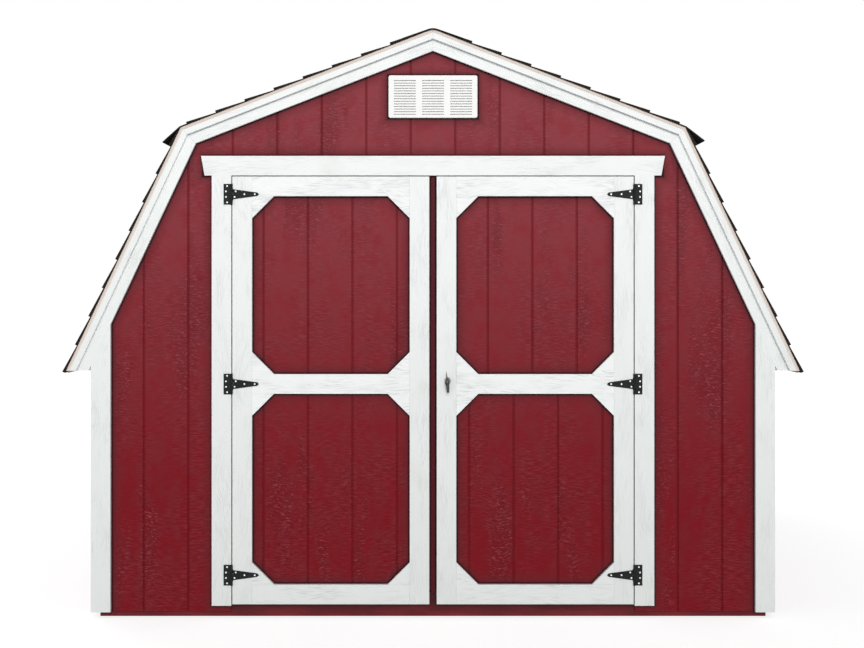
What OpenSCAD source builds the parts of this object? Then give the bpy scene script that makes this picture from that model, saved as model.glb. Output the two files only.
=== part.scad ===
// Small gambrel barn: a timber-framed storage building on a joisted floor, with grooved panel
// siding, a pair of ledged doors on tee hinges, louvred gable vents and a shingled roof.
// +Z is up, the doors face -Y, and the origin is the middle of the footprint on the ground.

/* [Floor] */
// Width of the floor frame, along the doors' side
frame_w = 3048; // [2800:1:3400]
// Depth of the floor frame, from front to back
frame_l = 3658; // [2400:1:4900]
// Number of floor joists, with the front and back ones
joist_count = 10; // [7:1:14]
// Thickness of the floor deck
floor_t = 16; // [12:1:25]
// Number of floor deck sheets, from front to back
floor_sheets = 3; // [2:1:4]

/* [Lumber] */
// Depth of studs, joists and rafters
lumber_w = 89; // [80:1:100]
// Thickness of studs, joists and rafters
lumber_t = 38; // [32:1:45]
// Thickness of the white trim boards
trim_t = 19; // [14:1:25]
// Width of the white trim boards
trim_w = 89; // [75:1:100]
// Width of the narrow strip on the rake boards
strip_w = 38; // [25:1:50]
// Width of the rake boards
rake_w = 88; // [70:1:95]

/* [Walls] */
// Height of the side walls' frames, above the floor deck
wall_h = 1139; // [1050:1:1200]
// Number of roof frames, each above a pair of side studs
frame_count = 7; // [4:1:9]
// Thickness of the siding panels
siding_t = 16; // [12:1:19]
// Height of the siding's lower edge above the ground
siding_low = 25; // [10:1:60]
// Distance between the siding's grooves
groove_pitch = 203.2; // [100:0.1:305]
// Distance from a door's hinged edge to the first groove of its panels
door_groove = 140; // [60:1:180]
// The same distance for the right door's upper panel, cut from another part of a sheet
upper_groove = 54; // [20:1:180]
// Width of a groove
groove_w = 9.5; // [5:0.5:15]
// Depth of a groove
groove_d = 5; // [3:0.5:8]

/* [Roof] */
// Slope of the lower rafters
lower_slope = 64.8; // [60:0.1:66]
// Slope of the upper rafters
upper_slope = 21.3; // [18:0.1:26]
// Height of the roof's breaks above the side walls' plates, on the rafters' top
break_rise = 979; // [900:1:1010]
// Bearing of the lower rafters on the plates
rafter_seat = 24.5; // [20:0.1:45]
// Reach of the eaves past the frame, on the deck's underside
eave_reach = 129; // [90:0.1:140]
// Thickness of the roof deck
deck_t = 12; // [9:1:19]
// Thickness of the soffit boards
soffit_t = 19; // [12:1:25]
// Thickness of the gusset plates on the roof frames
gusset_t = 12; // [9:1:19]
// Reach of a gusset plate along each rafter
gusset_reach = 280; // [200:5:320]

/* [Shingles] */
// Length of shingle that shows in each course
exposure = 143; // [120:1:160]
// Thickness of the shingles at a butt edge
butt_t = 13.6; // [10:0.2:16]
// Thickness of the shingles just below the next butt edge
thin_t = 7; // [5:0.2:8]
// Reach of the lowest course past the eave
eave_lap = 10; // [5:1:25]
// Reach of the upper slope's lowest course past the break
flap_reach = 106; // [60:1:140]
// Slope of that reach below the level
flap_slope = 37.5; // [30:0.5:42]
// Reach of the ridge cap down each side
cap_reach = 150; // [120:1:190]
// Thickness of the ridge cap
cap_t = 4; // [3:0.5:8]
// Reach of the shingles past the rake strips
rake_lap = 6; // [4:1:20]
// Thickness of the drip edge
drip_t = 1.5; // [1:0.1:2]
// Height of the drip edge's lip
drip_lip = 11; // [8:1:25]
// Width of the eave drip edge's flange
drip_flange = 50; // [30:1:80]

/* [Doors] */
// Height of the casings' lower edge
casing_low = 55; // [30:1:60]
// Drop from the roof's breaks to the header board's top edge
header_drop = 118; // [90:1:160]
// Gap between the header board's ends and the rake boards
header_clear = 52; // [20:1:60]
// Reach of the header board past the casings
header_reach = 48.5; // [20:0.5:60]
// How much shorter the header board's lower edge is at each end
header_taper = 16; // [5:1:30]
// Gap from the doors to the casings and the header board
door_gap = 5; // [5:0.5:6]
// Height of the door trim's lower edge
door_low = 62; // [55:1:70]
// Gap between the two doors' white trim
trim_meet = 34; // [30:0.2:50]
// Gap between the two doors' panels
meet_gap = 5.4; // [5.4:0.1:8]
// Height of the middle rail above the lower rail
mid_rail_rise = 959; // [850:1:1050]
// Length of a corner gusset's legs
corner_leg = 100; // [60:1:130]
// Gap from the doors' backs to the stops
stop_gap = 5; // [5:0.5:12]

/* [Hinges] */
// Height of the lowest hinge's middle above the door trim's lower edge
low_hinge_rise = 133; // [90:1:200]
// Drop from the doors' top to the highest hinge's middle
high_hinge_drop = 81; // [60:1:150]
// Radius of a knuckle
knuckle_r = 5; // [4.5:0.1:6]
// Radius of a hinge pin
pin_r = 2.5; // [2:0.1:3]
// Radial clearance on the pin
pin_play = 0.05; // [0.02:0.01:0.1]
// Thickness of the hinge plates
plate_t = 2.5; // [2:0.1:3]
// Height of the hinge's leaf
leaf_h = 94; // [80:1:110]
// Width of the leaf on the casing
leaf_w = 37; // [30:1:45]
// Length of the strap on the door
strap_l = 124; // [100:1:160]
// Height of the strap at its root
strap_root = 46; // [38:1:60]
// Height of the strap at its tip
strap_tip = 16; // [12:1:24]

/* [Handle] */
// Distance of the handle's spindle from the middle of the doorway
handle_x = 67; // [55:1:75]
// Height of the handle's spindle above the middle rail's lower edge
handle_rise = 60; // [20:1:70]
// Length of the handle's grip, from tip to tip
grip_l = 100; // [80:1:120]
// Radius of the grip at its middle
grip_r = 9; // [7:0.5:11]
// Radius of the grip near its tips
grip_tip_r = 5; // [4:0.5:7]
// Radius of the rosette behind the handle
rosette_r = 15.5; // [13:0.5:20]
// Radius of the spindle
spindle_r = 5; // [4:0.1:6]
// Distance from the rosette to the grip's face
grip_out = 36; // [28:1:50]
// Length of the latch bar from the spindle's middle
latch_l = 120; // [95:1:140]

/* [Vents] */
// Width of a gable vent
vent_w = 406; // [300:1:450]
// Height of a gable vent
vent_h = 194; // [150:1:220]
// Drop from the ridge to a gable vent's middle
vent_drop = 290; // [265:1:310]
// Number of louvres in a vent
louvre_count = 14; // [8:1:16]
// Width of the bars between a vent's three columns
vent_bar = 26; // [12:1:35]
// Width of a vent's border
vent_border = 20; // [15:1:30]
// Thickness of a vent
vent_t = 12; // [9:0.5:16]

/* [Hidden] */

red = [0.47, 0.16, 0.18];
white = [0.92, 0.92, 0.90];
timber = [0.80, 0.66, 0.46];
plywood = [0.74, 0.60, 0.42];
shingle = [0.24, 0.19, 0.16];
iron = [0.09, 0.09, 0.10];
zinc = [0.55, 0.54, 0.52];
tan_metal = [0.72, 0.65, 0.55];

seam = 0.3; // between boards of one node, butted together
fit = 0.3; // beside a part that turns
lay = 0.1; // under a board or sheet that lies on a slope

// Levels and layers, from the ground up and from the frame outwards
half_w = frame_w / 2;
plate_z = lumber_w + floor_t + wall_h;
half_l = frame_l / 2;
floor_z = lumber_w + floor_t;
wall_in = half_w - lumber_w;
side_out = half_w + siding_t;
face_y = half_l + siding_t;
trim_y = face_y + trim_t;
strip_y = trim_y + trim_t;
drip_y = strip_y + drip_t;
shingle_y = drip_y + rake_lap;
corner_out = side_out + trim_t;

// The roof's slopes: d is a distance outwards from the deck's underside. The lower rafter's
// underside meets the plate's top at foot_x.
foot_x = half_w - rafter_seat;
tan_up = tan(upper_slope);
tan_lo = tan(lower_slope);
break_z = plate_z + break_rise;
break_x = foot_x + (lumber_w / cos(lower_slope) - break_rise) / tan_lo;
ridge_z = break_z + tan_up * break_x;
eave_x = half_w + eave_reach;
eave_z = break_z - tan_lo * (eave_x - break_x);
up_dir = [cos(upper_slope), -sin(upper_slope)];
lo_dir = [cos(lower_slope), -sin(lower_slope)];
up_out = [sin(upper_slope), cos(upper_slope)];
lo_out = [sin(lower_slope), cos(lower_slope)];
function up_z(x, d) = ridge_z - tan_up * x + d / cos(upper_slope);
function lo_z(x, d) = break_z - tan_lo * (x - break_x) + d / cos(lower_slope);
function lo_x(z, d) = break_x + (break_z - z + d / cos(lower_slope)) / tan_lo;
function inner_z(x, d) = min(up_z(x, d), lo_z(x, d));
function break_pt(d) =
    let (x = (lo_z(0, d) - up_z(0, d)) / (tan_lo - tan_up))
    [x, up_z(x, d)];
function up_pt(s, d) = [0, up_z(0, deck_t)] + up_dir * s + up_out * (d - deck_t);
function lo_pt(s, d) = break_pt(deck_t) + lo_dir * s + lo_out * (d - deck_t);
cover = deck_t + lay;

// The doorway fills the front between the rakes, and the doors fill the doorway
header_top = break_z - header_drop;
header_low = header_top - trim_w;
header_half = lo_x(header_top, deck_t - rake_w) - header_clear;
casing_in = header_half - header_reach - trim_w;
opening_half = casing_in + door_gap;
opening_top = header_low + door_gap;
door_top = header_low - door_gap;
door_out = casing_in - door_gap;
panel_low = floor_z + door_gap;
door_back = half_l - lumber_t;
meet_bevel = 3.2;
mid_rail_z = door_low + mid_rail_rise;
leaf_x = casing_in - door_gap / 2;
leaf_y = trim_y + knuckle_r + fit;
hinge_zs = [door_low + low_hinge_rise, mid_rail_z + trim_w / 2, door_top - high_hinge_drop];
handle_z = mid_rail_z + handle_rise;
vent_z = ridge_z - vent_drop;

// A section in the X-Z plane, drawn out along Y
module along_y(y0, y1) {
    translate([0, y1, 0]) rotate([90, 0, 0]) linear_extrude(y1 - y0) children();
}

// A box between two corners
module block(low, high) {
    translate(low) cube(high - low);
}

module both_sides() {
    children();
    mirror([1, 0, 0]) children();
}

module both_ends() {
    children();
    mirror([0, 1, 0]) children();
}

// One board of the upper slope, between two distances from the rafters' top
module upper_band(d0, d1) {
    polygon([[seam / 2, up_z(seam / 2, d0)], [seam / 2, up_z(seam / 2, d1)],
        break_pt(d1) - up_dir * seam / 2, break_pt(d0) - up_dir * seam / 2]);
}

// One board of the lower slope, cut level at its foot
module lower_band(d0, d1, foot_z) {
    polygon([break_pt(d0) + lo_dir * seam / 2, break_pt(d1) + lo_dir * seam / 2,
        [lo_x(foot_z, d1), foot_z], [lo_x(foot_z, d0), foot_z]]);
}

// ---- Floor ----

function joist_y(i) = -half_l + i * (frame_l - lumber_t) / (joist_count - 1);

module floor_frame() {
    color(timber) {
        for (i = [0 : joist_count - 1])
            block([-half_w + lumber_t + seam, joist_y(i), 0],
                [half_w - lumber_t - seam, joist_y(i) + lumber_t, lumber_w]);
        both_sides() block([half_w - lumber_t, -half_l, 0], [half_w, half_l, lumber_w]);
    }
}

module floor_deck() {
    sheet = frame_l / floor_sheets;
    color(plywood)
        for (i = [0 : floor_sheets - 1])
            block([-half_w, -half_l + i * sheet + (i > 0 ? seam : 0), lumber_w],
                [half_w, -half_l + (i + 1) * sheet, floor_z]);
}

// ---- Wall frames ----

function frame_y(i) = -half_l + i * (frame_l - lumber_t) / (frame_count - 1);

module side_wall_frame() {
    color(timber) {
        block([wall_in, -half_l, floor_z], [half_w, half_l, floor_z + lumber_t]);
        block([wall_in, -half_l, plate_z - lumber_t], [half_w, half_l, plate_z]);
        for (i = [0 : frame_count - 1])
            block([wall_in, frame_y(i), floor_z + lumber_t + seam],
                [half_w, frame_y(i) + lumber_t, plate_z - lumber_t - seam]);
    }
}

module left_wall_frame() mirror([1, 0, 0]) side_wall_frame();

module right_wall_frame() side_wall_frame();

// A stud of an end wall, cut to the slope of the rafter above it
module end_stud(x, low) {
    along_y(-half_l, -half_l + lumber_w)
        polygon([[x, low], [x + lumber_t, low],
            [x + lumber_t, inner_z(x + lumber_t, -lumber_w) - seam],
            [x, inner_z(x, -lumber_w) - seam]]);
}

stud_low = floor_z + lumber_t + seam;
vent_side = vent_w / 2 + 10;
middle_stud_x = (opening_half + 2 * lumber_t + wall_in) / 2;

module front_wall_frame() {
    jack_x = opening_half;
    king_x = jack_x + lumber_t + seam;
    header_z1 = opening_top + lumber_w;
    color(timber) {
        both_sides() {
            block([opening_half, -half_l, floor_z], [wall_in, -half_l + lumber_w, floor_z + lumber_t]);
            block([jack_x, -half_l, stud_low],
                [jack_x + lumber_t, -half_l + lumber_w, opening_top - seam]);
            end_stud(king_x, stud_low);
            end_stud(middle_stud_x, stud_low);
            end_stud(wall_in - lumber_t - seam, stud_low);
            end_stud(vent_side, header_z1 + seam);
            end_stud((vent_side + king_x) / 2, header_z1 + seam);
        }
        for (y = [-half_l, -half_l + lumber_w - lumber_t])
            block([seam - king_x, y, opening_top], [king_x - seam, y + lumber_t, header_z1]);
    }
}

module back_wall_frame() {
    bay = (wall_in - lumber_t) / 3;
    color(timber) mirror([0, 1, 0]) {
        block([-wall_in, -half_l, floor_z], [wall_in, -half_l + lumber_w, floor_z + lumber_t]);
        both_sides() {
            end_stud(vent_side, stud_low);
            end_stud(bay * 1.55, stud_low);
            end_stud(bay * 2.3, stud_low);
            end_stud(wall_in - lumber_t - seam, stud_low);
        }
    }
}

// ---- Roof frames ----

// A lower rafter, notched over the wall and cut level on the soffit
module lower_rafter() {
    tail_z = eave_z + soffit_t;
    polygon([break_pt(-lumber_w) + lo_dir * seam / 2, break_pt(-lay) + lo_dir * seam / 2,
        [lo_x(tail_z, -lay), tail_z], [side_out, tail_z], [side_out, plate_z],
        [foot_x, plate_z]]);
}

module rafters() {
    color(timber)
        for (i = [0 : frame_count - 1])
            both_sides() along_y(frame_y(i), frame_y(i) + lumber_t) {
                upper_band(-lumber_w, -lay);
                lower_rafter();
            }
}

module ridge_gusset() {
    foot = up_pt(gusset_reach, -1);
    heel = up_pt(gusset_reach, -lumber_w);
    polygon([[0, up_z(0, -1)], foot, heel, [-heel.x, heel.y], [-foot.x, foot.y]]);
}

module break_gusset() {
    corner = break_pt(-1);
    polygon([corner, corner + lo_dir * gusset_reach,
        corner + lo_dir * gusset_reach - lo_out * (lumber_w - 1),
        corner - up_dir * gusset_reach - up_out * (lumber_w - 1),
        corner - up_dir * gusset_reach]);
}

module roof_gussets() {
    color(plywood)
        for (i = [1 : frame_count - 2])
            along_y(frame_y(i) + lumber_t, frame_y(i) + lumber_t + gusset_t) {
                ridge_gusset();
                both_sides() break_gusset();
            }
}

// ---- Siding ----

// Grooves down a front or back panel, on both sides of its middle
module end_grooves(y0, y1) {
    count = floor(half_w / groove_pitch - 0.5);
    both_sides() for (i = [0 : count])
        block([(i + 0.5) * groove_pitch - groove_w / 2, y0, 0],
            [(i + 0.5) * groove_pitch + groove_w / 2, y1, ridge_z + 50]);
}

// A panel in the plane of the front wall, with its grooves
module front_panel() {
    difference() {
        along_y(-face_y, -half_l) children();
        end_grooves(-face_y - 1, -face_y + groove_d);
    }
}

module front_wall_side() {
    polygon([[opening_half, siding_low], [side_out, siding_low], [side_out, lo_z(side_out, -lay)],
        [lo_x(opening_top, -lay), opening_top], [opening_half, opening_top]]);
}

module front_wall_left() color(red) front_panel() mirror([1, 0, 0]) front_wall_side();

module front_wall_right() color(red) front_panel() front_wall_side();

function mirrored(p) = [-p.x, p.y];

// The top of a front or back panel, under the deck, from the right side to the left
function gable_top() = [break_pt(-lay), [0, up_z(0, -lay)], mirrored(break_pt(-lay))];

module vent_hole() {
    translate([-vent_w / 2 + vent_border, vent_z - vent_h / 2 + vent_border])
        square([vent_w - 2 * vent_border, vent_h - 2 * vent_border]);
}

module front_gable_wall() {
    color(red) front_panel() difference() {
        polygon(concat([[-lo_x(opening_top, -lay), opening_top], [lo_x(opening_top, -lay), opening_top]],
            gable_top()));
        vent_hole();
    }
}

module back_wall() {
    color(red) mirror([0, 1, 0]) front_panel() difference() {
        polygon(concat([[-side_out, siding_low], [side_out, siding_low],
            [side_out, lo_z(side_out, -lay)]], gable_top(), [[-side_out, lo_z(side_out, -lay)]]));
        vent_hole();
    }
}

module right_wall() {
    count = floor(half_l / groove_pitch - 0.5);
    color(red) difference() {
        block([half_w, -half_l, siding_low], [side_out, half_l, plate_z]);
        both_ends() for (i = [0 : count])
            block([side_out - groove_d, (i + 0.5) * groove_pitch - groove_w / 2, 0],
                [side_out + 1, (i + 0.5) * groove_pitch + groove_w / 2, plate_z + 1]);
    }
}

module left_wall() mirror([1, 0, 0]) right_wall();

// ---- Roof covering ----

module right_roof_deck() {
    color(plywood) along_y(-face_y, face_y) {
        upper_band(0, deck_t);
        lower_band(0, deck_t, eave_z);
    }
}

module left_roof_deck() mirror([1, 0, 0]) right_roof_deck();

upper_l = norm(break_pt(deck_t) - up_pt(0, deck_t));
lower_l = norm([lo_x(eave_z, deck_t), eave_z] - break_pt(deck_t)) + eave_lap;
flap_dir = [cos(flap_slope), -sin(flap_slope)];
flap_out = [sin(flap_slope), cos(flap_slope)];

// Two points for each butt edge between the lowest and a length up the slope
function lower_steps(n) = [for (i = [0 : n], t = [thin_t, butt_t])
    lo_pt(lower_l - i * exposure, cover + t)];
function upper_steps(n) = [for (i = [1 : n], t = [thin_t, butt_t])
    up_pt(upper_l - (i - 1) * exposure - step_up, cover + t)];

// The flap takes most of its course, and the slope above takes the rest
step_up = exposure - flap_reach;

module lower_shingle_section() {
    n = floor((lower_l - 60) / exposure);
    flap_foot = thin_t / tan(lower_slope - flap_slope) + 1;
    flange_s = lower_l - eave_lap - drip_flange;
    steps = lower_steps(n);
    polygon(concat(
        [lo_pt(lower_l, cover + drip_t)],
        [for (i = [1 : len(steps) - 1]) steps[i]],
        [lo_pt(flap_foot, cover + thin_t), lo_pt(1, cover)],
        [lo_pt(flange_s - 1, cover), lo_pt(flange_s - 1, cover + drip_t)]));
}

module upper_shingle_section() {
    n = floor((upper_l - step_up - cap_reach) / exposure) + 1;
    root = break_pt(cover);
    bend = root + up_out * thin_t;
    tip = root + flap_dir * flap_reach;
    polygon(concat([root, tip, tip + flap_out * thin_t, bend], upper_steps(n),
        [up_pt(cap_reach + 1, cover + thin_t), [seam, up_z(seam, cover + thin_t)],
            [seam, up_z(seam, cover)]]));
}

module right_lower_shingles() color(shingle) along_y(-shingle_y, shingle_y) lower_shingle_section();

module left_lower_shingles() mirror([1, 0, 0]) right_lower_shingles();

module right_upper_shingles() color(shingle) along_y(-shingle_y, shingle_y) upper_shingle_section();

module left_upper_shingles() mirror([1, 0, 0]) right_upper_shingles();

cap_low = cover + thin_t + lay;
cap_top = cap_low + cap_t;

module ridge_cap() {
    color(shingle) along_y(-shingle_y, shingle_y) both_sides()
        polygon([[seam, up_z(seam, cap_low)], [seam, up_z(seam, cap_top)],
            up_pt(cap_reach, cap_top), up_pt(cap_reach, cap_low)]);
}

// ---- Trim on the roof's edges ----

rake_top = deck_t - drip_t - lay;

module rake_boards() {
    color(white) both_sides() along_y(-trim_y, -face_y) {
        upper_band(deck_t - rake_w, rake_top);
        lower_band(deck_t - rake_w, rake_top, eave_z);
    }
}

module front_rake_boards() rake_boards();

module back_rake_boards() mirror([0, 1, 0]) rake_boards();

module rake_strips() {
    color(white) both_ends() both_sides() along_y(-strip_y, -trim_y) {
        upper_band(rake_top - strip_w, rake_top);
        lower_band(rake_top - strip_w, rake_top, eave_z);
    }
}

// Bent metal over the rakes and eaves, with a lip in front of each
module drip_edges() {
    flange_s = lower_l - eave_lap - drip_flange;
    lip = lo_pt(lower_l - eave_lap + drip_t + lay, cover + drip_t - lay);
    color(tan_metal) {
        both_ends() both_sides() {
            along_y(-drip_y, -face_y) {
                upper_band(deck_t - drip_t, deck_t);
                lower_band(deck_t - drip_t, deck_t, eave_z);
            }
            along_y(-drip_y, -strip_y) {
                upper_band(deck_t - drip_lip, deck_t - lay);
                lower_band(deck_t - drip_lip, deck_t - lay, eave_z);
            }
        }
        both_sides() along_y(-face_y + seam, face_y - seam)
            polygon([lo_pt(flange_s, cover), lo_pt(flange_s, cover + drip_t - lay), lip,
                lip - [0, drip_lip], lip - [drip_t, drip_lip],
                [lip.x - drip_t, lo_z(lip.x - drip_t, cover)]]);
    }
}

module soffits() {
    color(white) both_sides() along_y(-face_y, face_y)
        polygon([[side_out, eave_z], [lo_x(eave_z, -lay), eave_z],
            [lo_x(eave_z + soffit_t, -lay), eave_z + soffit_t], [side_out, eave_z + soffit_t]]);
}

// ---- Trim on the walls ----

corner_in = corner_out - trim_w;

module corner_boards() {
    color(white) both_sides() {
        along_y(-trim_y, -face_y)
            polygon([[corner_in, siding_low], [corner_out, siding_low],
                [corner_out, lo_z(corner_out, deck_t - rake_w - lay)],
                [corner_in, lo_z(corner_in, deck_t - rake_w - lay)]]);
        block([side_out, -face_y + seam, siding_low], [corner_out, -face_y + trim_w, eave_z]);
    }
}

module front_corner_boards() corner_boards();

module back_corner_boards() mirror([0, 1, 0]) corner_boards();

module door_casings() {
    color(white) both_sides()
        block([casing_in, -trim_y, casing_low], [casing_in + trim_w, -face_y, header_low]);
}

module header_board() {
    color(white) along_y(-trim_y, -face_y)
        polygon([[header_taper - header_half, header_low], [header_half - header_taper, header_low],
            [header_half, header_top], [-header_half, header_top]]);
}

module door_stops() {
    stop_y = door_back - stop_gap;
    color(timber) {
        both_sides() block([opening_half - trim_t, -stop_y, floor_z],
            [opening_half, -stop_y + strip_w, opening_top - trim_t - seam]);
        block([-opening_half, -stop_y, opening_top - trim_t],
            [opening_half, -stop_y + strip_w, opening_top]);
    }
}

// ---- Vents ----

vent_in_w = vent_w - 2 * vent_border;
vent_in_h = vent_h - 2 * vent_border;
louvre_pitch = vent_in_h / louvre_count;
louvre_t = 1.4;
louvre_lap = 0.5;

// One louvre, in a section across the wall: it sheds water outwards, and laps the one below
module louvre_section() {
    low = -louvre_lap;
    high = louvre_pitch + louvre_lap;
    polygon([[1, low], [1 + louvre_t, low], [vent_t - 2, high - louvre_t], [vent_t - 2, high]]);
}

module gable_vent() {
    bar_x = (vent_in_w + vent_bar) / 6;
    color(white) {
        along_y(-face_y - vent_t, -face_y) difference() {
            translate([-vent_w / 2, vent_z - vent_h / 2]) square([vent_w, vent_h]);
            vent_hole();
        }
        along_y(-face_y - vent_t + 0.5, -face_y - 1)
            for (x = [-bar_x, bar_x])
                translate([x - vent_bar / 2, vent_z - vent_in_h / 2 - 1])
                    square([vent_bar, vent_in_h + 2]);
        for (i = [0 : louvre_count - 1])
            translate([-vent_in_w / 2 - 1, -face_y - vent_t, vent_z - vent_in_h / 2 + i * louvre_pitch])
                rotate([90, 0, 90]) linear_extrude(vent_in_w + 2) louvre_section();
    }
}

module front_vent() gable_vent();

module back_vent() mirror([0, 1, 0]) gable_vent();

// ---- Doors: each is drawn on the right, and the left one is mirrored ----

module place_door(side) {
    if (side < 0) mirror([1, 0, 0]) children();
    else children();
}

function door_edge(side) = side < 0 ? meet_gap - trim_meet / 2 : trim_meet / 2;

// The meeting edge is bevelled, so that each door swings clear of the other
function meet_x(side, y) = door_edge(side) + meet_bevel * (face_y - y) / (face_y - door_back);

// The part of a door between two depths, out to a distance from the middle
module meeting_block(side, y0, y1, out_x, z0, z1) {
    translate([0, 0, z0]) linear_extrude(z1 - z0)
        polygon([[meet_x(side, y0), -y0], [out_x, -y0], [out_x, -y1], [meet_x(side, y1), -y1]]);
}

module spindle_hole(side) {
    if (side > 0)
        translate([handle_x, -door_back + 1, handle_z]) rotate([90, 0, 0])
            cylinder(r = spindle_r + 1.5, h = trim_y, $fn = 48);
}

// One of a door's two panels, whose joint lies behind the middle rail
module grooved_panel(side, first, z0, z1) {
    count = floor((door_out - door_edge(side) - first - trim_w) / groove_pitch);
    difference() {
        meeting_block(side, face_y, half_l, door_out, z0, z1);
        for (i = [0 : count])
            block([door_out - first - i * groove_pitch - groove_w / 2, -face_y - 1, 0],
                [door_out - first - i * groove_pitch + groove_w / 2, groove_d - face_y, z1 + 1]);
        spindle_hole(side);
    }
}

module door_panel(side) {
    joint_z = mid_rail_z + trim_w / 3;
    color(red) place_door(side) {
        grooved_panel(side, door_groove, panel_low, joint_z);
        grooved_panel(side, side < 0 ? door_groove : upper_groove, joint_z + seam, door_top);
    }
}

module door_frame(side) {
    stile_in = door_edge(side) + meet_bevel + lumber_w;
    color(timber) place_door(side) difference() {
        union() {
            meeting_block(side, half_l, door_back, stile_in, panel_low, door_top);
            block([door_out - lumber_w, -half_l, panel_low], [door_out, -door_back, door_top]);
            for (z = [panel_low, mid_rail_z, door_top - lumber_w])
                block([stile_in + seam, -half_l, z],
                    [door_out - lumber_w - seam, -door_back, z + lumber_w]);
        }
        spindle_hole(side);
    }
}

// A right-angled corner piece, with its legs along the stile and the rail
module corner_piece(x, z, turn_x, turn_z) {
    along_y(-trim_y, -face_y)
        polygon([[x, z], [x + turn_x * corner_leg, z], [x, z + turn_z * corner_leg]]);
}

module door_trim(side) {
    edge = trim_meet / 2;
    inner = edge + trim_w + seam;
    outer = door_out - trim_w - seam;
    rails = [door_low, mid_rail_z, door_top - trim_w];
    color(white) place_door(side) difference() {
        union() {
            block([edge, -trim_y, door_low], [edge + trim_w, -face_y, door_top]);
            block([door_out - trim_w, -trim_y, door_low], [door_out, -face_y, door_top]);
            for (z = rails) block([inner, -trim_y, z], [outer, -face_y, z + trim_w]);
            for (i = [0, 1]) {
                low = rails[i] + trim_w + seam;
                high = rails[i + 1] - seam;
                corner_piece(inner, low, 1, 1);
                corner_piece(outer, low, -1, 1);
                corner_piece(inner, high, 1, -1);
                corner_piece(outer, high, -1, -1);
            }
        }
        spindle_hole(side);
    }
}

module left_door_panel() door_panel(-1);

module right_door_panel() door_panel(1);

module left_door_frame() door_frame(-1);

module right_door_frame() door_frame(1);

module left_door_trim() door_trim(-1);

module right_door_trim() door_trim(1);

// ---- Tee hinges: five knuckles, of which the door carries the second and the fourth ----

knuckle_h = leaf_h / 5;

module knuckle(i) {
    translate([leaf_x, -leaf_y, -leaf_h / 2 + i * knuckle_h + fit / 2])
        cylinder(r = knuckle_r, h = knuckle_h - fit, $fn = 48);
}

module hinge_leaf() {
    clear_x = leaf_x + knuckle_r + fit;
    translate([leaf_x, -leaf_y, -leaf_h / 2 + fit]) cylinder(r = pin_r, h = leaf_h - 2 * fit, $fn = 48);
    block([clear_x, -trim_y - plate_t, -leaf_h / 2], [leaf_x + leaf_w, -trim_y, leaf_h / 2]);
    for (i = [0, 2, 4]) {
        knuckle(i);
        block([leaf_x, -trim_y - plate_t, -leaf_h / 2 + i * knuckle_h + fit / 2],
            [clear_x + 1, -trim_y - fit, -leaf_h / 2 + (i + 1) * knuckle_h - fit / 2]);
    }
}

module hinge_strap() {
    clear_x = leaf_x - knuckle_r - fit;
    tip_x = leaf_x - strap_l;
    difference() {
        union() {
            along_y(-trim_y - plate_t, -trim_y)
                polygon([[clear_x, -strap_root / 2], [clear_x, strap_root / 2],
                    [tip_x + strap_tip / 2, strap_tip / 2], [tip_x, 0],
                    [tip_x + strap_tip / 2, -strap_tip / 2]]);
            for (i = [1, 3]) {
                knuckle(i);
                block([clear_x - 1, -trim_y - plate_t, -leaf_h / 2 + i * knuckle_h + fit / 2],
                    [leaf_x, -trim_y - fit, -leaf_h / 2 + (i + 1) * knuckle_h - fit / 2]);
            }
        }
        translate([leaf_x, -leaf_y, -leaf_h])
            cylinder(r = pin_r + pin_play, h = 2 * leaf_h, $fn = 48);
    }
}

module hinge_leaves() {
    color(iron) both_sides() for (z = hinge_zs) translate([0, 0, z]) hinge_leaf();
}

module door_straps(side) {
    color(iron) place_door(side) for (z = hinge_zs) translate([0, 0, z]) hinge_strap();
}

module left_door_straps() door_straps(-1);

module right_door_straps() door_straps(1);

// ---- Handle ----

rosette_t = 6;
hub_r = 13;
latch_w = 28;
latch_t = 6;
grip_y = trim_y + rosette_t + grip_out;

// A round piece on the spindle's axis, from the front at y0 to y1
module turned(y0, y1, r0, r1) {
    translate([handle_x, y1, handle_z]) rotate([90, 0, 0])
        cylinder(r1 = r1, r2 = r0, h = y1 - y0, $fn = 64);
}

module handle_rosette() {
    color(zinc) difference() {
        union() {
            turned(-trim_y - rosette_t, -trim_y - rosette_t / 2, rosette_r - 2, rosette_r);
            turned(-trim_y - rosette_t / 2, -trim_y, rosette_r, rosette_r);
        }
        turned(-trim_y - rosette_t - 1, -trim_y + 1, spindle_r + pin_play, spindle_r + pin_play);
    }
}

// One arm of the grip, turned to a round tip
module grip_arm() {
    reach = grip_l / 2 - grip_tip_r;
    cylinder(r1 = grip_r, r2 = grip_tip_r, h = reach, $fn = 48);
    translate([0, 0, reach]) sphere(r = grip_tip_r, $fn = 48);
}

// The grip, its hub and spindle, and the latch bar behind the door, which hangs at rest
module door_handle() {
    latch_y = -door_back + door_gap;
    latch_reach = latch_l - latch_w / 2;
    color(zinc) {
        turned(-grip_y + grip_r, latch_y + latch_t, spindle_r, spindle_r);
        turned(-grip_y, -trim_y - rosette_t - fit, hub_r - 2, hub_r - 4);
        translate([handle_x, grip_r - grip_y, handle_z]) {
            grip_arm();
            rotate([180, 0, 0]) grip_arm();
        }
        along_y(latch_y, latch_y + latch_t) translate([handle_x, handle_z]) {
            translate([-latch_w / 2, -latch_reach]) square([latch_w, latch_reach]);
            circle(r = latch_w / 2, $fn = 64);
            translate([0, -latch_reach]) circle(r = latch_w / 2, $fn = 64);
        }
    }
}

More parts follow.
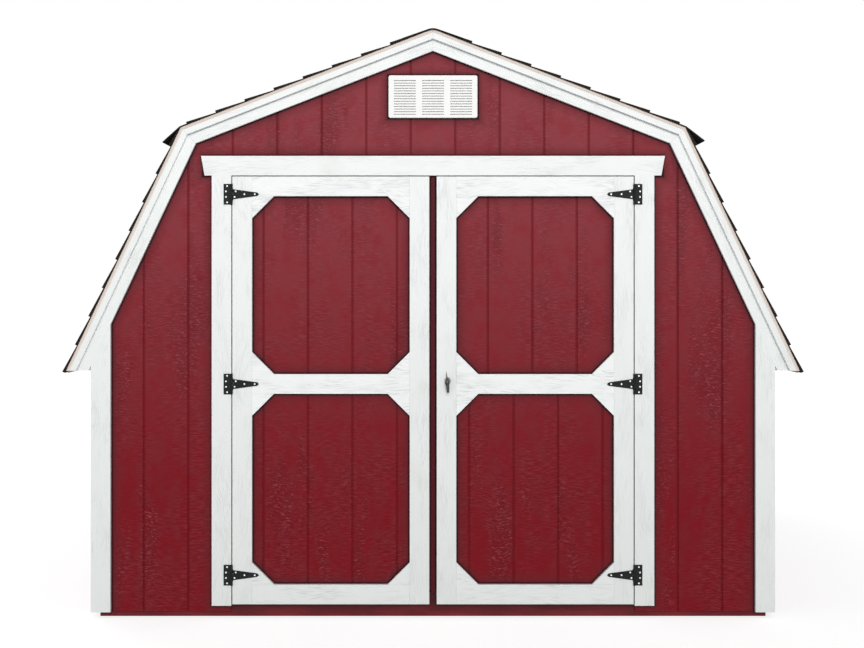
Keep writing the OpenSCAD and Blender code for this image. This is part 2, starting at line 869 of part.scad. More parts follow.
floor_frame();
floor_deck();
left_wall_frame();
right_wall_frame();
front_wall_frame();
back_wall_frame();
rafters();
roof_gussets();
front_wall_left();
front_wall_right();
front_gable_wall();
back_wall();
left_wall();
right_wall();
left_roof_deck();
right_roof_deck();
left_upper_shingles();
left_lower_shingles();
right_upper_shingles();
right_lower_shingles();
ridge_cap();
front_rake_boards();
back_rake_boards();
rake_strips();
drip_edges();
soffits();
front_corner_boards();
back_corner_boards();
door_casings();
header_board();
front_vent();
back_vent();
door_stops();
hinge_leaves();
left_door_panel();
left_door_frame();
left_door_trim();
left_door_straps();
right_door_panel();
right_door_frame();
right_door_trim();
right_door_straps();
handle_rosette();
door_handle();
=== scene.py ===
"""Looks of a small gambrel barn: paint, lumber, shingles, fasteners, floor and light."""

import math
import random

import bmesh
import bpy
from mathutils import Matrix, Vector


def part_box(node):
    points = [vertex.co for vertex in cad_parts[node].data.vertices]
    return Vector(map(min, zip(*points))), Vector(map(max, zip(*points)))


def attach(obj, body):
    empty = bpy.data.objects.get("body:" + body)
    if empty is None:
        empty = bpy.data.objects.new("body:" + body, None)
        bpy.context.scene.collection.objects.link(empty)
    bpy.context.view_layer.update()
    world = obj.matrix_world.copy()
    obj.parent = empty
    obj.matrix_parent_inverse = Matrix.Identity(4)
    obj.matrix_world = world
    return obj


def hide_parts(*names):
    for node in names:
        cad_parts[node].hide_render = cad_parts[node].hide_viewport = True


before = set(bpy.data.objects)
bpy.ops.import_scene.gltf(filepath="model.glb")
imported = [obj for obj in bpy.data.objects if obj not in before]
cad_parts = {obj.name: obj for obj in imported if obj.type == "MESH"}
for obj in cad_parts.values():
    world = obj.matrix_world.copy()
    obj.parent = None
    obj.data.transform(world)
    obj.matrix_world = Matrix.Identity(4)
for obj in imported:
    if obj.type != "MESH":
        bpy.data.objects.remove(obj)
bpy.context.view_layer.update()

# ---- The barn's own sizes, in metres ----

HALF_W = 1.524
HALF_L = 1.829
FLOOR_Z = 0.105
PLATE_Z = 1.244
LUMBER_T = 0.038
FACE_Y = 1.845
TRIM_Y = 1.864
LOWER_SLOPE = math.radians(64.8)
UPPER_SLOPE = math.radians(21.3)
DECK_T = 0.012
GROOVE_PITCH = 0.2032
DOOR_GROOVE = 0.140
UPPER_GROOVE = 0.054
TRIM_W = 0.089
CASING_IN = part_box("door_casings")[1][0] - TRIM_W
CORNER_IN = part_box("front_corner_boards")[1][0] - TRIM_W
HEADER_LOW, HEADER_TOP = (corner[2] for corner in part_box("header_board"))
HEADER_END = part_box("header_board")[1][0]
HEADER_TAPER = 0.008
DOOR_LOW, DOOR_TOP = (corner[2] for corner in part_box("left_door_trim"))
MID_RAIL_RISE = 0.959
MID_RAIL_Z = DOOR_LOW + MID_RAIL_RISE
MEET_IN = 0.017
STILE_IN = MEET_IN + TRIM_W
DOOR_GAP = 0.005
DOOR_EDGE = CASING_IN - DOOR_GAP
STILE_OUT = DOOR_EDGE - TRIM_W
CORNER_LEG = 0.100
RAKE_W = 0.088
STRIP_W = 0.038
FRAME_HEADER_LOW, FRAME_HEADER_HIGH = 2.0205, 2.1105
FRAME_HEADER_END = 1.0
JOINT_BELOW = 0.0035
BREAK_Z = 2.223
BREAK_X = 1.13718
RIDGE_Z = BREAK_Z + math.tan(UPPER_SLOPE) * BREAK_X

# Slack in telling whether a point lies on a face of the lumber, or on a panel's back
HAIR, SEAM = 0.0002, 0.0003

# Shingles. Values by side are -1 for the left and 1 for the right.
ROOF_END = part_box("ridge_cap")[1][1]
EXPOSURE = 0.143
BUTT_T = 0.0135
THIN_T = 0.0055
BASE_LENGTH = 1.0
BASE_JOINT = 0.0015
BASE_STAGGER = 0.28
BASE_WORN = 0.001
TAB_T = 0.0030
TAB_WIDE = 0.15
TAB_WIDTHS = (0.09, 0.12, 0.15, 0.19, 0.23)
TAB_LENGTH = 0.150
TAB_TAPER = 0.9
FIRST_TABS, FIRST_GAPS, TAB_GAPS = (0.1, 0.24), (0.05, 0.12), (0.045, 0.14)
LAST_TAB = 0.36
BASE_TONES, TAB_TONES, CAP_TONES = (0.05, 0.3), (0.3, 1.0), (0.25, 0.95)
TAB_WORN = 0.0012
EAVE_LAP = 0.010
EAVE_EXPOSURE = 0.1355
SHORTEST = 0.06
SHORTEST_BASE = 0.1
FIRST_UP = 0.032
TOP_BUTTS = {-1: 0.206, 1: 0.187}
UPPER_COURSES = 8
FLAP_REACH = 0.106
FLAP_TUCK = 0.008
FLAP_SLOPES = {-1: math.radians(42), 1: math.radians(37.5)}
CAP_REACH = 0.140
CAP_LENGTH = EXPOSURE + 0.02
CAP_SLOPE = math.radians(19.3)
CAP_NOSE = 0.005
CAP_RISE = 0.0197
CAP_ROUND = 0.020
CAP_T = 0.003
CAP_WORN = 0.0008
LAY = 0.0001
ROOF_SEED, RIDGE_SEED = 11, 5

# Gable vents
VENT_LOW, VENT_HIGH = (Vector(corner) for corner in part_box("front_vent"))
VENT_T = 0.012
VENT_WALL = 0.003
VENT_CORNER = 0.009
VENT_EDGE = 0.0025
VENT_HEAD = 0.0245
VENT_FOOT = 0.0156
VENT_SIDE = 0.0245
VENT_BAR = 0.028
LOUVRES, COLUMNS = 14, 3
SLOT_H = 0.0042
SLOT_FRONT, SLOT_BACK = -0.001, 0.004
BLADE_T = 0.0012
BLADE_RISE = 0.85
BLADE_DROP = 0.0015

# Hinges, screws and nails. Screws lie outwards from the hinge's pin and above its middle.
LOW_HINGE_RISE = 0.133
HIGH_HINGE_DROP = 0.081
HINGE_HEIGHTS = [DOOR_LOW + LOW_HINGE_RISE, MID_RAIL_Z + TRIM_W / 2, DOOR_TOP - HIGH_HINGE_DROP]
KNUCKLE_R = 0.005
PLATE_T = 0.0025
SCREW_R = 0.0041
LEAF_SPOTS = [(0.021, 0.037), (0.026, 0.0125), (0.026, -0.0125), (0.021, -0.037)]
STRAP_SPOTS = [(-0.0185, 0.013), (-0.013, -0.0125), (-0.058, 0.0), (-0.105, 0.0)]
NAIL_R = 0.0035
NAIL_T = 0.0008
NAIL_RIM = 0.001
NAIL_DIMPLE = 0.0012
NAIL_INSET = 0.02
NAIL_INSETS = (NAIL_INSET, TRIM_W - NAIL_INSET)
CORNER_NAILS = {"low": 0.10, "high": 1.05, "count": 4}
CASING_NAILS = {"low": 0.12, "high": 1.95, "count": 6}
STILE_NAILS = {"low": DOOR_LOW + 0.22, "high": DOOR_TOP - 0.19, "count": 5}
HEADER_NAILS_X, HEADER_NAILS = 0.98, 7
RAIL_NAILS_X, RAIL_NAILS = (0.16, 0.77), 4

# Handle. A profile gives the radius at each height along its middle line.
LATCH_W = 0.028
LATCH_T = 0.006
HUB_DEEP = 0.0125
SPINDLE_R = 0.0050
SPINDLE_START, SPINDLE_SHORT = 0.010, 0.001
COLLAR = [(0.004, 0.0080), (0.012, 0.0092)]
COLLAR_R = 0.0108
COLLAR_LIP, COLLAR_PLAY = 0.0022, 0.0006
GRIP_TURN = math.radians(-5)
GRIP_LEFT, GRIP_DOWN = 0.002, 0.006
GRIP = [(-0.048, 0.0020), (-0.0455, 0.0050), (-0.040, 0.0064), (-0.024, 0.0074), (-0.0125, 0.0076),
        (-0.011, 0.0092), (-0.004, 0.0108), (0.003, 0.0106), (0.009, 0.0080), (0.0105, 0.0036),
        (0.024, 0.0026), (0.040, 0.0017), (0.0485, 0.0006)]

# Grain of the materials: repeats in a metre, across and up or along and across. Widths of grooves and of
# painted shade, light and shadow.
SAW_MARKS, BURLS, FUZZ = (26.0, 185.0), (52.0, 175.0), (260.0, 420.0)
DASHES, PAINT_FUZZ = (14.0, 230.0), (60.0, 300.0)
RINGS = 420.0
STRANDS, TURNED_STRANDS = (16.0, 55.0), (48.0, 18.0)
GRAINS = 520.0
PEBBLES = 400.0
ORANGE_PEEL = 700.0
GROOVE_HALF, GROOVE_RIM, GROOVE_SOFT = 0.004, 0.0055, 0.010
SHADOW_LINE_IN, SHADOW_LINE_OUT, SHADOW_SOFT_IN, SHADOW_SOFT_OUT, SHADE_OUT = 0.003, 0.010, 0.004, 0.020, 0.06

# ---- Colours, as a screen shows them ----

RED_LOW, RED_HIGH = (113, 12, 24), (141, 61, 69)
RED_BRIGHT, RED_FADED = (126, 4, 20), (104, 50, 50)
SAW_CREST_HIGHLIGHT, SAW_HOLLOW_SHADE = (178, 94, 102), (66, 2, 12)
GROOVE_SHADE, GROOVE_LIGHT = (74, 6, 16), (122, 4, 18)
SHADED_RED, BOARD_SHADOW, MEETING_SHADE = (88, 34, 38), (20, 5, 12), (30, 12, 16)
BARE_PANEL = (188, 150, 104)
WHITE_LOW, WHITE_HIGH, LIT_RAIL_WHITE = (216, 220, 218), (240, 243, 242), (246, 248, 248)
GRAIN_GREY, GRIME, STRIP_SHADOW_GREY, DRIP_TAN = (174, 178, 178), (202, 200, 190), (120, 126, 130), (208, 196, 186)
PINE_DARK, PINE_PALE, PINE_RING, KNOT = (206, 168, 118), (226, 196, 150), (178, 132, 82), (104, 66, 40)
RIM_THIN, RIM_RED, RIM_SHADE = (94, 28, 33), (118, 38, 44), (40, 12, 14)
STRAND_DARK, STRAND_PALE, STRAND_STREAK = (176, 132, 82), (218, 180, 128), (150, 106, 62)
PLASTIC_PALE, PLASTIC_GREY = (240, 240, 238), (226, 228, 226)
DRIP_PALE, DRIP_DARK = (222, 207, 197), (206, 187, 175)
IRON_BLACK, IRON_WORN = (17, 19, 20), (38, 38, 37)
ROSETTE_ZINC = (168, 174, 174), (128, 132, 132)
SCREW_ZINC = (230, 232, 231), (204, 206, 204)
HANDLE_ZINC = (88, 81, 76), (50, 46, 43)
SHINGLE_DARK, SHINGLE_PALE, SHINGLE_CLOUD = (46, 38, 34), (92, 76, 64), (60, 48, 42)
GRAIN_PALE, GRAIN_DARK, SHINGLE_EDGE = (132, 112, 92), (24, 22, 22), (30, 25, 23)
FLOOR_PALE, FLOOR_GREY = (226, 226, 226), (176, 176, 176)
WHITE = (1, 1, 1, 1)

# Floor and light
FLOOR_SIZE, FLOOR_SINK = 60, 0.001
FLOOR_GLOW = 0.70
SKY_LIGHT = 0.55


# ---- Shader maths ----

class Wire:
    """A socket of a material's nodes that takes part in sums."""

    def __init__(self, recipe, socket):
        self.recipe, self.socket = recipe, socket

    def sum(self, how, *terms):
        return self.recipe.node("Math", {"operation": how}, terms)

    def __add__(self, other):
        return self.sum("ADD", self, other)

    def __sub__(self, other):
        return self.sum("SUBTRACT", self, other)

    def __rsub__(self, other):
        return self.sum("SUBTRACT", other, self)

    def __mul__(self, other):
        return self.sum("MULTIPLY", self, other)

    def __truediv__(self, other):
        return self.sum("DIVIDE", self, other)

    def __rtruediv__(self, other):
        return self.sum("DIVIDE", other, self)

    def __mod__(self, other):
        return self.sum("FLOORED_MODULO", self, other)

    def __rmod__(self, other):
        return self.sum("FLOORED_MODULO", other, self)

    def __gt__(self, other):
        return self.sum("GREATER_THAN", self, other)

    def __lt__(self, other):
        return self.sum("LESS_THAN", self, other)

    def __abs__(self):
        return self.sum("ABSOLUTE", self)

    def __neg__(self):
        return self.sum("MULTIPLY", self, -1.0)

    def __or__(self, other):
        return self.sum("MAXIMUM", self, other)

    def __and__(self, other):
        return self.sum("MINIMUM", self, other)

    def sine(self):
        return self.sum("SINE", self)

    __radd__ = __add__
    __rmul__ = __mul__
    __ror__ = __or__
    __rand__ = __and__


class Recipe:
    """The node tree of one material, or of the world."""

    def __init__(self, name, kind="materials", output="OutputMaterial"):
        self.owner = getattr(bpy.data, kind).new(name)
        self.owner.use_nodes = True
        self.output, self.tree = output, self.owner.node_tree
        self.tree.nodes.clear()
        self.x, self.y, self.z = self.split(self.node("TexCoord", out="Object"))

    def node(self, kind, settings=None, sockets=(), out=0):
        """Adds a node: its settings come first, then the values or links of its sockets."""
        new = self.tree.nodes.new("ShaderNode" + kind)
        for key, value in (settings or {}).items():
            setattr(new, key, value)
        pairs = sockets.items() if isinstance(sockets, dict) else enumerate(sockets)
        for key, value in pairs:
            if isinstance(value, Wire):
                self.tree.links.new(value.socket, new.inputs[key])
            else:
                new.inputs[key].default_value = value
        return Wire(self, new.outputs[out])

    def split(self, vector):
        parts = self.node("SeparateXYZ", {}, [vector]).socket.node
        return [Wire(self, socket) for socket in parts.outputs]

    def noise(self, a, b, c=0.0, detail=2.0, rough=0.5, warp=0.0):
        """Noise between 0 and 1 at a place given by its three coordinates, already scaled."""
        place = self.node("CombineXYZ", {}, [a, b, c])
        return self.node("TexNoise", {}, {"Vector": place, "Scale": 1.0, "Detail": detail,
                                          "Roughness": rough, "Distortion": warp})

    def cells(self, a, b, c=0.0, out="Color"):
        """Cells around scattered points: each one's own colour, or the distance to its point."""
        place = self.node("CombineXYZ", {}, [a, b, c])
        return self.node("TexVoronoi", {}, {"Vector": place, "Scale": 1.0}, out=out)

    def between(self, value, low, high, to_low=0.0, to_high=1.0):
        """A value stretched from one range to another, and held inside it."""
        return self.node("MapRange", {"clamp": True, "interpolation_type": "SMOOTHSTEP"},
                         [value, low, high, to_low, to_high])

    def pick(self, mask, plain, other):
        """One of two values, by a mask."""
        return self.node("Mix", {"data_type": "FLOAT"}, {0: mask, 2: plain, 3: other})

    def blend(self, mask, plain, other):
        """One colour laid over another, by a mask."""
        shades = {0: mask, 6: plain if isinstance(plain, Wire) else colour(plain),
                  7: other if isinstance(other, Wire) else colour(other)}
        return self.node("Mix", {"data_type": "RGBA"}, shades, out=2)

    def seen(self):
        """1 for what the camera sees, also in mirrors and through glass, and 0 for the light."""
        rays = self.node("LightPath").socket.node.outputs
        camera, glossy, passed = (Wire(self, rays[name]) for name in (
            "Is Camera Ray", "Is Glossy Ray", "Is Transmission Ray"))
        return camera | glossy | passed

    def finish(self, base, rough, relief, depth, metal=0.0, specular=0.5):
        """A painted or metal surface, with its relief in metres as a bump."""
        bump = self.node("Bump", {}, {"Height": relief, "Distance": depth, "Strength": 1.0})
        return self.surface(self.node("BsdfPrincipled", {}, {
            "Base Color": base, "Roughness": rough, "Metallic": metal,
            "Specular IOR Level": specular, "Normal": bump}))

    def surface(self, shader):
        out = self.tree.nodes.new("ShaderNode" + self.output)
        self.tree.links.new(shader.socket, out.inputs["Surface"])
        return self.owner


def colour(shade):
    """A colour with its opacity, from red, green and blue as a screen shows them, 0 to 255."""
    def linear(v):
        v /= 255
        return v / 12.92 if v <= 0.04045 else ((v + 0.055) / 1.055) ** 2.4
    return (*[linear(v) for v in shade], 1.0)


# ---- Which way the boards run ----

def upright(r):
    return r.z, r.x + r.y


def across_front(r):
    return r.x, r.z + r.y


def front_to_back(r):
    return r.y, r.z + r.x


def on_lower_slope(r):
    """Which side of the line that halves the angle at the break."""
    middle = (LOWER_SLOPE + UPPER_SLOPE) / 2
    return (abs(r.x) - BREAK_X) * math.cos(middle) - (r.z - BREAK_Z) * math.sin(middle) > 0.0


def down_slopes(r):
    """Along and across the boards of the roof, which turn at the breaks."""
    side = abs(r.x)
    fall = r.z - BREAK_Z
    steep = on_lower_slope(r)
    up = side * math.cos(UPPER_SLOPE) - fall * math.sin(UPPER_SLOPE)
    up_off = side * math.sin(UPPER_SLOPE) + fall * math.cos(UPPER_SLOPE)
    low = side * math.cos(LOWER_SLOPE) - fall * math.sin(LOWER_SLOPE)
    low_off = side * math.sin(LOWER_SLOPE) + fall * math.cos(LOWER_SLOPE)
    along = r.pick(steep, up, low)
    off = r.pick(steep, up_off, low_off)
    return along + 7.0 * (r.x > 0.0), off + r.y + 3.0 * (r.x > 0.0)


def door_rail(r):
    return (abs(r.x) > STILE_IN + 0.001) & (abs(r.x) < STILE_OUT - 0.001)


def door_boards(r):
    """Upright stiles, and rails between them."""
    rail = door_rail(r)
    return r.pick(rail, r.z, r.x), r.pick(rail, r.x + r.y, r.z + r.y)


def side_frame_boards(r):
    plate = (r.z < FLOOR_Z + LUMBER_T) | (r.z > PLATE_Z - LUMBER_T)
    return r.pick(plate, r.z, r.y), r.pick(plate, r.x + r.y, r.x + r.z)


def end_frame_boards(r):
    low = r.z < FLOOR_Z + LUMBER_T
    header = ((r.z > FRAME_HEADER_LOW) & (r.z < FRAME_HEADER_HIGH)
              & (abs(r.x) < FRAME_HEADER_END) & (r.y < 0.0))
    flat = low | header
    return r.pick(flat, r.z, r.x), r.pick(flat, r.x + r.y, r.z + r.y)


def floor_boards(r):
    rim = abs(r.x) > HALF_W - LUMBER_T - HAIR
    return r.pick(rim, r.x, r.y), r.pick(rim, r.y + r.z, r.x + r.z)


# ---- Paints and surfaces ----

def roof_depth(r):
    """Distance below the rafters' top, from whichever slope is nearer."""
    side = abs(r.x) - BREAK_X
    fall = r.z - BREAK_Z
    upper = side * math.sin(UPPER_SLOPE) + fall * math.cos(UPPER_SLOPE)
    lower = side * math.sin(LOWER_SLOPE) + fall * math.cos(LOWER_SLOPE)
    return -(upper | lower)


def beyond_box(r, middle, half):
    """Distance outside an upright rectangle in the plane of the front, below zero inside."""
    return (abs(r.x - middle[0]) - half[0]) | (abs(r.z - middle[1]) - half[1])


def to_end_boards(r):
    """Distance on an end wall to the nearest white board or vent."""
    rake = roof_depth(r) - (RAKE_W - DECK_T)
    corner = CORNER_IN - abs(r.x)
    vent_middle = (VENT_LOW + VENT_HIGH) / 2
    vent_half = (VENT_HIGH - VENT_LOW) / 2
    vent = beyond_box(r, (0, vent_middle.z), (vent_half.x, vent_half.z))
    header = beyond_box(r, (0, (HEADER_LOW + HEADER_TOP) / 2), (HEADER_END - HEADER_TAPER, TRIM_W / 2))
    casing_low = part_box("door_casings")[0][2]
    casing = beyond_box(r, (0, (casing_low + HEADER_LOW) / 2),
                        (CASING_IN + TRIM_W, (HEADER_LOW - casing_low) / 2))
    front = (header & casing) + 9.0 * (r.y > 0.0)
    return rake & corner & vent & front


def to_side_boards(r):
    """Distance on a side wall to the corner boards and the soffit."""
    return (FACE_Y - TRIM_W - abs(r.y)) & (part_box("soffits")[0][2] - r.z)


def to_door_boards(r):
    """Distance on a door's panel to the stiles, rails and corner pieces around it."""
    middle = (STILE_IN + STILE_OUT) / 2
    side = abs(abs(r.x) - middle) - (STILE_OUT - STILE_IN) / 2
    rails = [DOOR_LOW + TRIM_W, MID_RAIL_Z, MID_RAIL_Z + TRIM_W, DOOR_TOP - TRIM_W]
    gaps = []
    for low, high in (rails[:2], rails[2:]):
        level = abs(r.z - (low + high) / 2) - (high - low) / 2
        gaps.append(side | level | (side + level + CORNER_LEG) * math.sqrt(0.5))
    return -(gaps[0] & gaps[1]) | (MEET_IN - abs(r.x))


def from_nearest(at):
    """Distance to the nearest of a row of grooves, at half steps of the pitch."""
    return abs(at / GROOVE_PITCH % 1.0 - 0.5) * GROOVE_PITCH


def to_end_grooves(r):
    return from_nearest(abs(r.x))


def to_side_grooves(r):
    return from_nearest(abs(r.y))


def to_door_grooves(r):
    """The boards of the right door's upper panel start nearer to its hinges."""
    right_upper = (r.x > 0.0) & (r.z > MID_RAIL_Z)
    first = r.pick(right_upper, DOOR_EDGE - DOOR_GROOVE, DOOR_EDGE - UPPER_GROOVE)
    return from_nearest(abs(r.x) - first + 20.5 * GROOVE_PITCH)


def door_meeting(r):
    return abs(r.x) < MEET_IN + 0.001


def red_siding(name, to_boards, to_grooves, in_shade=None):
    """Deep red paint, paler towards the ridge as painted light from above, over panels embossed like
    sawn cedar: short saw marks across the boards, and burls in upright bands, with painted highlight
    on their crests and painted shade in their hollows. Painted shade and a dark painted shadow line
    lie beside the white boards, painted shade lies around the grooves with painted light on their
    floors, painted shade lies where the doors meet when asked for, and the panels' backs are bare."""
    r = Recipe(name)
    wall = r.x + r.y
    bend = r.noise(wall * 6.0, r.z * 1.5, 0.0, detail=1.0)
    level = r.z + bend * 0.06
    saw = r.noise(wall * SAW_MARKS[0], level * SAW_MARKS[1], 3.0, detail=3.0, rough=0.6)
    saw = r.between(saw, 0.40, 0.64)
    sawn = r.between(r.noise(wall * 5.0, r.z * 2.6, 9.0, detail=3.0), 0.38, 0.62, 0.15, 1.0)
    burl = r.between(r.noise(wall * BURLS[0], level * BURLS[1], 8.0, detail=2.0, warp=0.8), 0.50, 0.68)
    band = r.between(r.noise(wall * 8.0, r.z * 1.2, 4.0, detail=3.0), 0.52, 0.66)
    fuzz = r.noise(wall * FUZZ[0], r.z * FUZZ[1], 2.0, detail=2.0)
    relief = saw * sawn * 0.55 + burl * band * 0.8 + fuzz * 0.25
    # Painted light: the red is paler towards the ridge, where more light falls from above.
    tint = r.blend(r.between(r.z, 0.35, 2.65), RED_LOW, RED_HIGH)
    cloud = r.noise(wall * 15.0, r.z * 10.0, 6.0, detail=4.0)
    tint = r.blend(r.between(cloud, 0.42, 0.7, 0.0, 0.30), tint, RED_BRIGHT)
    tint = r.blend(r.between(cloud, 0.58, 0.3, 0.0, 0.16), tint, RED_FADED)
    # Painted highlight on the crests of the saw marks and burls, and painted shade in their hollows.
    tint = r.blend(saw * sawn * 0.12 + burl * band * 0.34, tint, SAW_CREST_HIGHLIGHT)
    tint = r.blend((1.0 - saw) * sawn * 0.14 + (1.0 - burl) * band * 0.18, tint, SAW_HOLLOW_SHADE)
    to_groove = to_grooves(r)
    # Painted shade around the grooves, then painted light on their floors against that shade.
    tint = r.blend(r.between(to_groove, GROOVE_HALF, GROOVE_SOFT, 0.20, 0.0), tint, GROOVE_SHADE)
    tint = r.blend(r.between(to_groove, GROOVE_HALF, GROOVE_RIM, 0.35, 0.0), tint, GROOVE_LIGHT)
    to_board = to_boards(r)
    # Painted shade near the white boards, and a dark painted shadow line along their edges.
    tint = r.blend(r.between(to_board, 0.0, SHADE_OUT, 0.55, 0.0), tint, SHADED_RED)
    tint = r.blend(r.between(to_board, SHADOW_SOFT_IN, SHADOW_SOFT_OUT, 0.30, 0.0), tint, BOARD_SHADOW)
    tint = r.blend(r.between(to_board, SHADOW_LINE_IN, SHADOW_LINE_OUT, 0.88, 0.0), tint, BOARD_SHADOW)
    # Painted shade in the recessed strip where the two doors meet.
    if in_shade:
        tint = r.blend(in_shade(r) * 0.42, tint, MEETING_SHADE)
    back = (abs(r.y) < HALF_L + SEAM) & (abs(r.x) < HALF_W + SEAM)
    tint = r.blend(back, tint, BARE_PANEL)
    return r.finish(tint, r.pick(relief, 0.66, 0.52), relief, 0.0016, specular=0.1)


def white_paint(name, run):
    """White paint on sawn trim: short soft grain dashes along each board, and a little grime."""
    r = Recipe(name)
    along, off = run(r)
    bend = r.noise(along * 3.0, off * 9.0, 1.0, detail=1.0)
    dash = r.between(r.noise(along * DASHES[0], off * DASHES[1] + bend * 24.0, 1.0, detail=2.0), 0.46, 0.70)
    patch = r.between(r.noise(along * 4.0, off * 14.0, 5.0, detail=2.0), 0.40, 0.62, 0.2, 1.0)
    fuzz = r.noise(along * PAINT_FUZZ[0], off * PAINT_FUZZ[1], 2.0, detail=2.0)
    relief = 1.0 - dash * patch * 0.8 - fuzz * 0.12
    # Painted shade: the white is darker towards the bottom, where less light falls.
    tint = r.blend(r.between(r.z, -0.3, 2.6), WHITE_LOW, WHITE_HIGH)
    amount = 0.12 if run is down_slopes else 0.18
    if run is door_boards:
        amount = r.pick(door_rail(r), 0.16, 0.44)
        # Painted light: the rails are lighter than the stiles, more so the higher rails.
        tint = r.blend(door_rail(r) * r.between(r.z, 0.1, 1.0, 0.1, 0.4), tint, LIT_RAIL_WHITE)
    tint = r.blend(dash * patch * amount, tint, GRAIN_GREY)
    grime = r.between(r.noise(r.x * 5.0 + r.y * 5.0, r.z * 5.0, 3.0, detail=5.0), 0.55, 0.8, 0.0, 0.22)
    tint = r.blend(grime, tint, GRIME)
    if run is down_slopes:
        below_top = roof_depth(r) + DECK_T
        joint = abs(below_top - STRIP_W - JOINT_BELOW)
        steep = on_lower_slope(r)
        # Painted shadow line beneath the rake strip's lower edge, on the upper slopes only.
        tint = r.blend(r.between(joint, 0.001, 0.003, 0.4, 0.0) * (1.0 - steep), tint, STRIP_SHADOW_GREY)
        tan = r.between(below_top, 0.010, 0.018, 0.8, 0.0) * r.pick(steep, 1.0, 0.45)
        tint = r.blend(tan, tint, DRIP_TAN)
    return r.finish(tint, 0.5, relief, 0.0010, specular=0.25)


def lumber(name, run, painted_outside=False):
    """Sawn softwood: growth rings, a few knots, and a mill's light furring."""
    r = Recipe(name)
    along, off = run(r)
    bend = r.noise(along * 1.1, off * 3.0, 1.0, detail=2.0)
    wave = off * RINGS + bend * 40.0 + r.noise(along * 9.0, off * 50.0) * 3.0
    rings = wave.sine() * 0.5 + 0.5
    knot = r.cells(along * 1.7, off * 9.0, 3.0, out="Distance")
    knots = 1.0 - r.between(knot, 0.05, 0.14)
    board = r.noise(along * 0.35, off * 6.0, 9.0, detail=0.0)
    tint = r.blend(board, PINE_DARK, PINE_PALE)
    tint = r.blend(rings * 0.55, tint, PINE_RING)
    tint = r.blend(knots, tint, KNOT)
    relief = rings * 0.5 + r.noise(along * 80.0, off * 500.0) * 0.5
    if painted_outside:
        tint = paint_outside(r, tint)
    return r.finish(tint, 0.72, relief, 0.0005, specular=0.2)


def paint_outside(r, tint):
    """Dull red on the floor's outer faces, uneven where the brush missed."""
    outside = (abs(r.x) > HALF_W - 2 * HAIR) | (abs(r.y) > HALF_L - 2 * HAIR)
    uneven = r.between(r.noise(r.x * 5.0 + r.y * 5.0, r.z * 20.0, 3.0, detail=4.0), 0.35, 0.7)
    red = r.blend(uneven, RIM_THIN, RIM_RED)
    # Painted shade: the red darkens towards the top of the outer faces, below the siding and doors.
    red = r.blend(r.between(r.z, 0.0, 0.07, 0.0, 0.75), red, RIM_SHADE)
    return r.blend(outside, tint, red)


def strand_board(name, run, painted_outside=False):
    """Pressed sheets of wood strands, each strand with its own tone."""
    r = Recipe(name)
    u, v = run(r)
    wave = r.noise(u * 8.0, v * 8.0, 1.0, detail=1.0) * 0.5
    strands = r.cells(u * STRANDS[0] + wave, v * STRANDS[1] + wave)
    turned = r.cells(u * TURNED_STRANDS[0] + wave, v * TURNED_STRANDS[1] - wave, 5.0)
    grey = r.node("RGBToBW", {}, [strands])
    grey_turned = r.node("RGBToBW", {}, [turned])
    tone = r.pick(r.between(r.noise(u * 11.0, v * 11.0, 7.0), 0.45, 0.55), grey, grey_turned)
    streak = r.noise(u * 30.0, v * 240.0, 2.0, detail=2.0)
    tint = r.blend(tone, STRAND_DARK, STRAND_PALE)
    tint = r.blend(streak * 0.4, tint, STRAND_STREAK)
    if painted_outside:
        tint = paint_outside(r, tint)
    return r.finish(tint, 0.7, tone + streak * 0.4, 0.0006, specular=0.25)


def moulded_plastic():
    r = Recipe("moulded_plastic")
    cloud = r.noise(r.x * 30.0, r.z * 30.0, r.y * 30.0, detail=3.0)
    pebble = r.noise(r.x * PEBBLES, r.z * PEBBLES, r.y * PEBBLES, detail=1.0)
    tint = r.blend(cloud * 0.5, PLASTIC_PALE, PLASTIC_GREY)
    return r.finish(tint, 0.4 + cloud * 0.1, pebble, 0.00006)


def drip_metal():
    r = Recipe("drip_metal")
    cloud = r.noise(r.x * 9.0, r.z * 9.0, r.y * 9.0, detail=4.0)
    tint = r.blend(cloud * 0.6, DRIP_PALE, DRIP_DARK)
    return r.finish(tint, 0.42 + cloud * 0.15, cloud, 0.0003)


def black_iron():
    r = Recipe("black_iron")
    cloud = r.noise(r.x * 60.0, r.z * 60.0, r.y * 60.0, detail=4.0)
    orange_peel = r.noise(r.x * ORANGE_PEEL, r.z * ORANGE_PEEL, r.y * ORANGE_PEEL, detail=1.0)
    tint = r.blend(r.between(cloud, 0.5, 0.75), IRON_BLACK, IRON_WORN)
    return r.finish(tint, 0.42 + cloud * 0.2, orange_peel, 0.0001, specular=0.16)


def zinc_metal(name, tones):
    r = Recipe(name)
    cloud = r.noise(r.x * 90.0, r.z * 90.0, r.y * 90.0, detail=4.0)
    tint = r.blend(r.between(cloud, 0.35, 0.7), *tones)
    return r.finish(tint, 0.34 + cloud * 0.2, cloud, 0.0002, metal=0.75)


